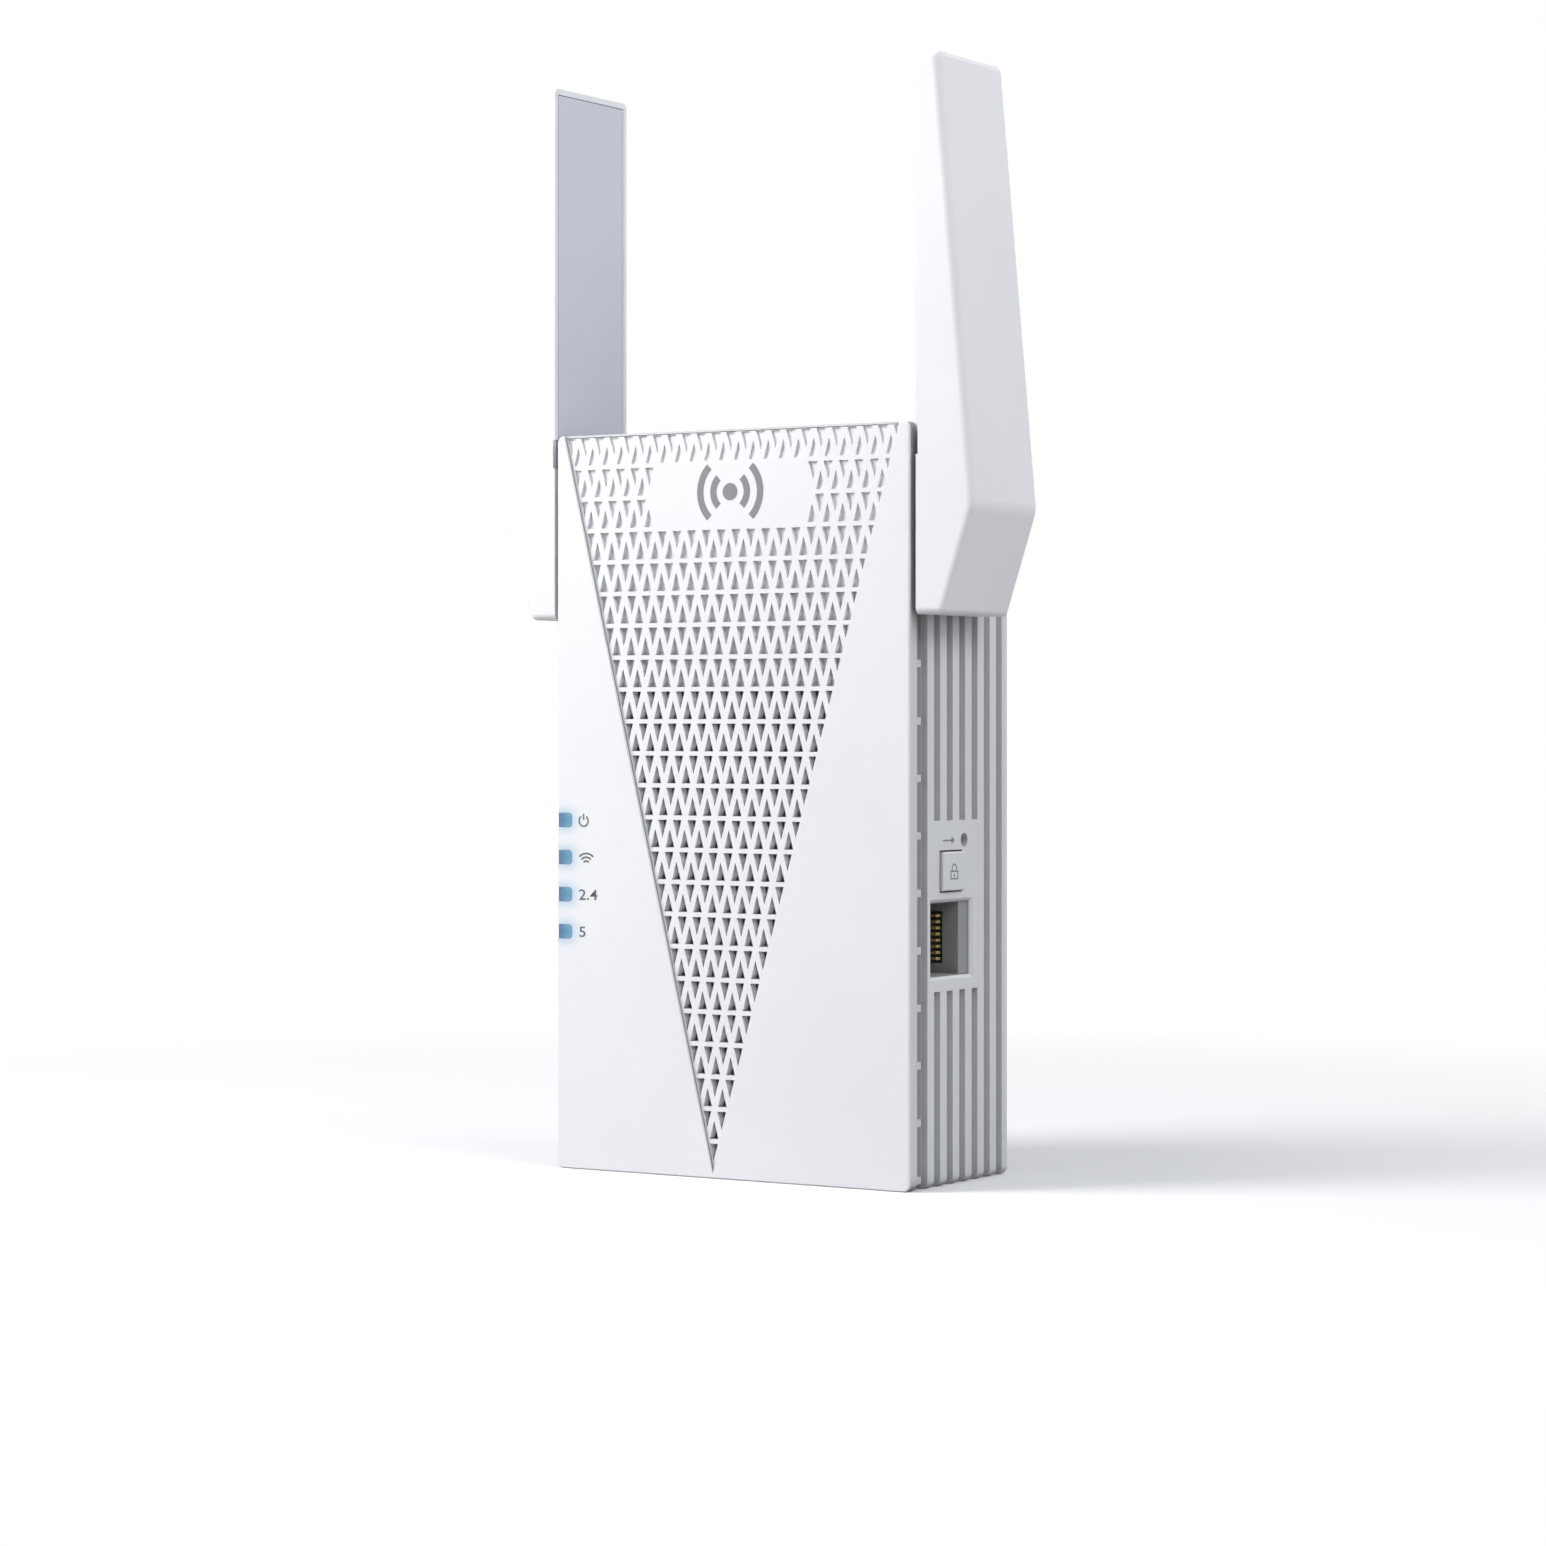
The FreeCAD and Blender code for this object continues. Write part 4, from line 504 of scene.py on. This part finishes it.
def arc_points(centre, radius, start, end, count):
    """Points of an arc, angles in degrees anticlockwise from the right."""
    points = []
    for i in range(count + 1):
        angle = math.radians(start + (end - start) * i / count)
        points.append((centre[0] + radius * math.cos(angle), centre[1] + radius * math.sin(angle)))
    return points


def stroke_faces(bm, points, half, place):
    """Adds a flat stroke to bm as a strip of quads."""
    left, right = band(points, half)
    row_a = [bm.verts.new(place(p)) for p in left]
    row_b = [bm.verts.new(place(p)) for p in right]
    for i in range(len(points) - 1):
        bm.faces.new((row_b[i], row_b[i + 1], row_a[i + 1], row_a[i]))


def outline_face(bm, points, place):
    """Adds one flat face with the given outline to bm."""
    bm.faces.new([bm.verts.new(place(Vector(p))) for p in points])


def print_piece(
    name, strokes, fills, origin, plane, colour, body="extender_body"
):
    """A thin raised print of strokes and filled outlines, in millimetres about origin.

    The plane is "front" or "side"; each stroke is its points and half its width.
    """
    across = Vector((1, 0, 0)) if plane == "front" else Vector((0, 1, 0))
    out = Vector((0, -1, 0)) if plane == "front" else Vector((1, 0, 0))
    upward = Vector((0, 0, 1))

    def place(p):
        return origin + across * p.x * MM + upward * p.y * MM

    bm = bmesh.new()
    for points, half in strokes:
        stroke_faces(bm, [Vector(p) for p in points], half, place)
    for points in fills:
        outline_face(bm, points, place)
    flat = list(bm.faces)
    grown = bmesh.ops.extrude_face_region(bm, geom=flat)
    moved = [g for g in grown["geom"] if isinstance(g, bmesh.types.BMVert)]
    bmesh.ops.translate(bm, verts=moved, vec=out * PRINT)
    bmesh.ops.recalc_face_normals(bm, faces=bm.faces)
    mesh = bpy.data.meshes.new(name)
    bm.to_mesh(mesh)
    bm.free()
    return finish_piece(name, mesh, colour, body)


def finish_piece(name, mesh, colour, body):
    """Puts a mesh in the scene under its name, riding on a body in a material slot."""
    obj = bpy.data.objects.new(name, mesh)
    mesh.materials.append(colour)
    bpy.context.scene.collection.objects.link(obj)
    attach(obj, body)
    return obj


NUMERAL_STRETCH = 1.28
NUMERAL_SHARE = 0.69
NUMERAL_WEIGHT = 0.012 * MM


def numeral_piece(name, text, height, origin, colour):
    """Numerals as a thin print on the front face, left edge and baseline at origin."""
    curve = bpy.data.curves.new(name + "_text", "FONT")
    curve.body = text
    curve.size = height * MM / NUMERAL_SHARE
    curve.extrude = PRINT / 2
    curve.offset = NUMERAL_WEIGHT
    curve.resolution_u = 6
    holder = bpy.data.objects.new(name + "_text", curve)
    bpy.context.scene.collection.objects.link(holder)
    bpy.context.view_layer.update()
    mesh = bpy.data.meshes.new_from_object(holder)
    bpy.data.objects.remove(holder)
    for v in mesh.vertices:
        x, y, z = v.co
        v.co = (origin.x + x * NUMERAL_STRETCH, origin.y - PRINT / 2 - z, origin.z + y)
    mesh.flip_normals()
    mesh.materials.clear()
    return finish_piece(name, mesh, colour, "extender_body")


LABEL_X = 4.35
NUMERAL_HIGH = 1.75
NUMERAL_DROP = 0.85


def label_origin(row, drop=0.0):
    """The left end of a window's label, drop millimetres below the window's centre."""
    return on_front(LABEL_X, window_height(row) - drop)


def make_power_icon():
    """A broken ring with a short bar in its opening."""
    middle = 1.05
    half = 0.14
    ring = arc_points((middle, -0.1), 0.92, 125, 415, 28)
    bar = [(middle, 0.05), (middle, 1.12)]
    print_piece("power_icon", [(ring, half), (bar, half)], [], label_origin(3), "front", INK)


def make_wifi_icon():
    """Three arcs over one point."""
    base = (1.60, -1.35)
    half = 0.15
    arcs = [(arc_points(base, radius, 46, 134, 16), half) for radius in (0.75, 1.40, 2.05)]
    print_piece("wifi_icon", arcs, [], label_origin(2), "front", INK)


def make_badge():
    """A plain broadcast mark: a dot with two arcs on each side."""
    half = 0.62
    spread = 46
    strokes = []
    for radius in (3.3, 5.9):
        for side in (0, 180):
            strokes.append((arc_points((0, 0), radius, side - spread, side + spread, 24), half))
    dot = arc_points((0, 0), 1.45, 0, 352.5, 47)
    centre = on_front(34.5, 114.4)
    centre.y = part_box("grille_insert")[0].y
    print_piece("badge_mark", strokes, [dot], centre, "front", MARK_INK)


def make_reset_mark():
    """A small arrow that points to the reset hole."""
    half = 0.13
    shaft = [(-2.4, 0), (0.4, 0)]
    head = [(0.4, -0.62), (1.4, 0.0), (0.4, 0.62)]
    place = on_side(13.6, 56.6)
    print_piece("reset_arrow", [(shaft, half)], [head], place, "side", SIDE_INK)


def make_lock_icon():
    """A padlock on the pairing button's cap."""
    cap = "pairing_button"
    centre = on_side(13.7, 51.3)
    centre.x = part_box(cap)[1].x
    half = 0.11
    foot = -1.1
    shoulder = 0.35
    edge = 1.15
    bow = 0.75
    bow_centre = (0, 0.65)
    sides = [[(x, foot), (x, shoulder)] for x in (-edge, edge)]
    ends = [[(-edge + half, z), (edge - half, z)] for z in (foot + half, shoulder - half)]
    shackle = [(-bow, shoulder), (-bow, bow_centre[1])] + arc_points(bow_centre, bow, 180, 0, 12)
    shackle.append((bow, shoulder))
    keyhole = [(0, -0.7), (0, -0.15)]
    strokes = [(line, half) for line in (*sides, *ends, shackle, keyhole)]
    print_piece("lock_icon", strokes, [], centre, "side", SIDE_INK, body=cap)


make_power_icon()
make_wifi_icon()
numeral_piece("label_2_4", "2.4", NUMERAL_HIGH, label_origin(1, NUMERAL_DROP), INK)
numeral_piece("label_5", "5", NUMERAL_HIGH, label_origin(0, NUMERAL_DROP), INK)
make_badge()
make_reset_mark()
make_lock_icon()


# ---------------------------------------------------------------- floor, light and camera

VIEW_TURN = math.radians(32.47)
WHITE_WALL = (-math.sin(VIEW_TURN), math.cos(VIEW_TURN), 0)
SIDE_WALL_GREY = 0.66
FLOOR_RADIUS = 6.0
FADE = (0.06, 0.30)
WALL_FOOT = (0.9, 1.8)


def wall_shade(tree, direction):
    """A colour for a direction: white at the wall behind the object, pale grey at the others."""
    unit = tree.nodes.new("ShaderNodeVectorMath")
    unit.operation = "NORMALIZE"
    tree.links.new(direction, unit.inputs[0])
    facing = tree.nodes.new("ShaderNodeVectorMath")
    facing.operation = "DOT_PRODUCT"
    facing.inputs[1].default_value = WHITE_WALL
    tree.links.new(unit.outputs[0], facing.inputs[0])
    ramp = tree.nodes.new("ShaderNodeMapRange")
    ramp.inputs["From Min"].default_value = 0.25
    ramp.inputs["From Max"].default_value = 0.75
    ramp.inputs["To Min"].default_value = SIDE_WALL_GREY
    tree.links.new(facing.outputs["Value"], ramp.inputs["Value"])
    return ramp.outputs["Result"]


def make_floor():
    """A pale floor that fades into the white backdrop away from the object."""
    bm = bmesh.new()
    bmesh.ops.create_circle(bm, cap_ends=True, segments=96, radius=FLOOR_RADIUS)
    mesh = bpy.data.meshes.new("floor")
    bm.to_mesh(mesh)
    bm.free()
    floor = bpy.data.objects.new("floor", mesh)
    floor.location = (0, 0, CAD_BOX[0][2] - 0.05 * MM)
    bpy.context.scene.collection.objects.link(floor)
    n = Nodes("floor_pale")
    cloud = n.noise(300 * MM)
    seen = n.add("ShaderNodeLightPath").outputs["Is Camera Ray"]
    pale = n.mix(n.spread(cloud, 0, 1), (0.86, 0.86, 0.87, 1), (0.88, 0.88, 0.89, 1))
    n.set(colour=n.mix(seen, (0.42, 0.42, 0.43, 1), pale), rough=0.9, specular=0.05)
    length = n.add("ShaderNodeVectorMath", operation="LENGTH")
    n.link(n.place, length.inputs[0])
    far = n.spread(length.outputs["Value"], 0.0, 1.0, *FADE)
    white = n.add("ShaderNodeEmission")
    wall_foot = n.spread(length.outputs["Value"], 0.0, 1.0, *WALL_FOOT)
    n.link(n.mix(wall_foot, (1, 1, 1, 1), wall_shade(n.tree, n.place)), white.inputs["Color"])
    n.link(n.spread(seen, 0.35, 1.0, 0.0, 1.0), white.inputs["Strength"])
    blend = n.add("ShaderNodeMixShader")
    n.link(far, blend.inputs[0])
    n.link(n.shader.outputs["BSDF"], blend.inputs[1])
    n.link(white.outputs[0], blend.inputs[2])
    n.link(blend.outputs[0], n.out.inputs["Surface"])
    mesh.materials.append(n.material)


def area_light(name, place, target, size, power, colour=(1, 1, 1)):
    """A round soft light of a diameter in metres and a power in watts."""
    data = bpy.data.lights.new(name, "AREA")
    data.shape = "DISK"
    data.size = size
    data.energy = power
    data.color = colour
    lamp = bpy.data.objects.new(name, data)
    lamp.location = place
    lamp.rotation_euler = (Vector(target) - Vector(place)).to_track_quat("-Z", "Y").to_euler()
    bpy.context.scene.collection.objects.link(lamp)


def make_world():
    """A white studio backdrop that itself gives only a little light."""
    world = bpy.data.worlds.new("studio")
    bpy.context.scene.world = world
    world.use_nodes = True
    tree = world.node_tree
    tree.nodes.clear()
    out = tree.nodes.new("ShaderNodeOutputWorld")
    path = tree.nodes.new("ShaderNodeLightPath")
    fill = tree.nodes.new("ShaderNodeBackground")
    fill.inputs["Color"].default_value = (0.90, 0.94, 1.0, 1)
    fill.inputs["Strength"].default_value = 0.40
    backdrop = tree.nodes.new("ShaderNodeBackground")
    place = tree.nodes.new("ShaderNodeTexCoord").outputs["Generated"]
    tree.links.new(wall_shade(tree, place), backdrop.inputs["Color"])
    backdrop.inputs["Strength"].default_value = 1.0
    mix = tree.nodes.new("ShaderNodeMixShader")
    tree.links.new(path.outputs["Is Camera Ray"], mix.inputs[0])
    tree.links.new(fill.outputs[0], mix.inputs[1])
    tree.links.new(backdrop.outputs[0], mix.inputs[2])
    tree.links.new(mix.outputs[0], out.inputs["Surface"])


def make_camera():
    """Level with the middle of the body and 32.5 degrees round to its right."""
    reach = 0.672
    target = Vector((0, FRONT_Y, BASE_Z + 76.4 * MM))
    data = bpy.data.cameras.new("camera")
    data.sensor_width = 36.0
    data.lens = 94.145
    data.shift_x = 0.0288
    data.shift_y = -0.0343
    data.clip_start = 0.05
    data.clip_end = 20.0
    camera = bpy.data.objects.new("camera", data)
    camera.location = target + Vector((math.sin(VIEW_TURN), -math.cos(VIEW_TURN), 0)) * reach
    camera.rotation_euler = (math.radians(90), 0, VIEW_TURN)
    bpy.context.scene.collection.objects.link(camera)
    bpy.context.scene.camera = camera


make_floor()
make_world()
area_light("key", (-0.30, -0.31, 0.33), (0, 0, 0.06), 0.26, 2.42)
area_light("side_fill", (0.62, -0.12, 0.55), (0, 0, 0.07), 0.5, 2.65, (0.95, 0.97, 1.0))
area_light("top", (0.0, -0.2, 1.1), (0, 0, 0.0), 1.2, 1.7)
area_light("back", (0.2, 0.9, 0.5), (0, 0, 0.05), 0.6, 1.2)
make_camera()
bpy.context.scene.view_settings.view_transform = "Standard"
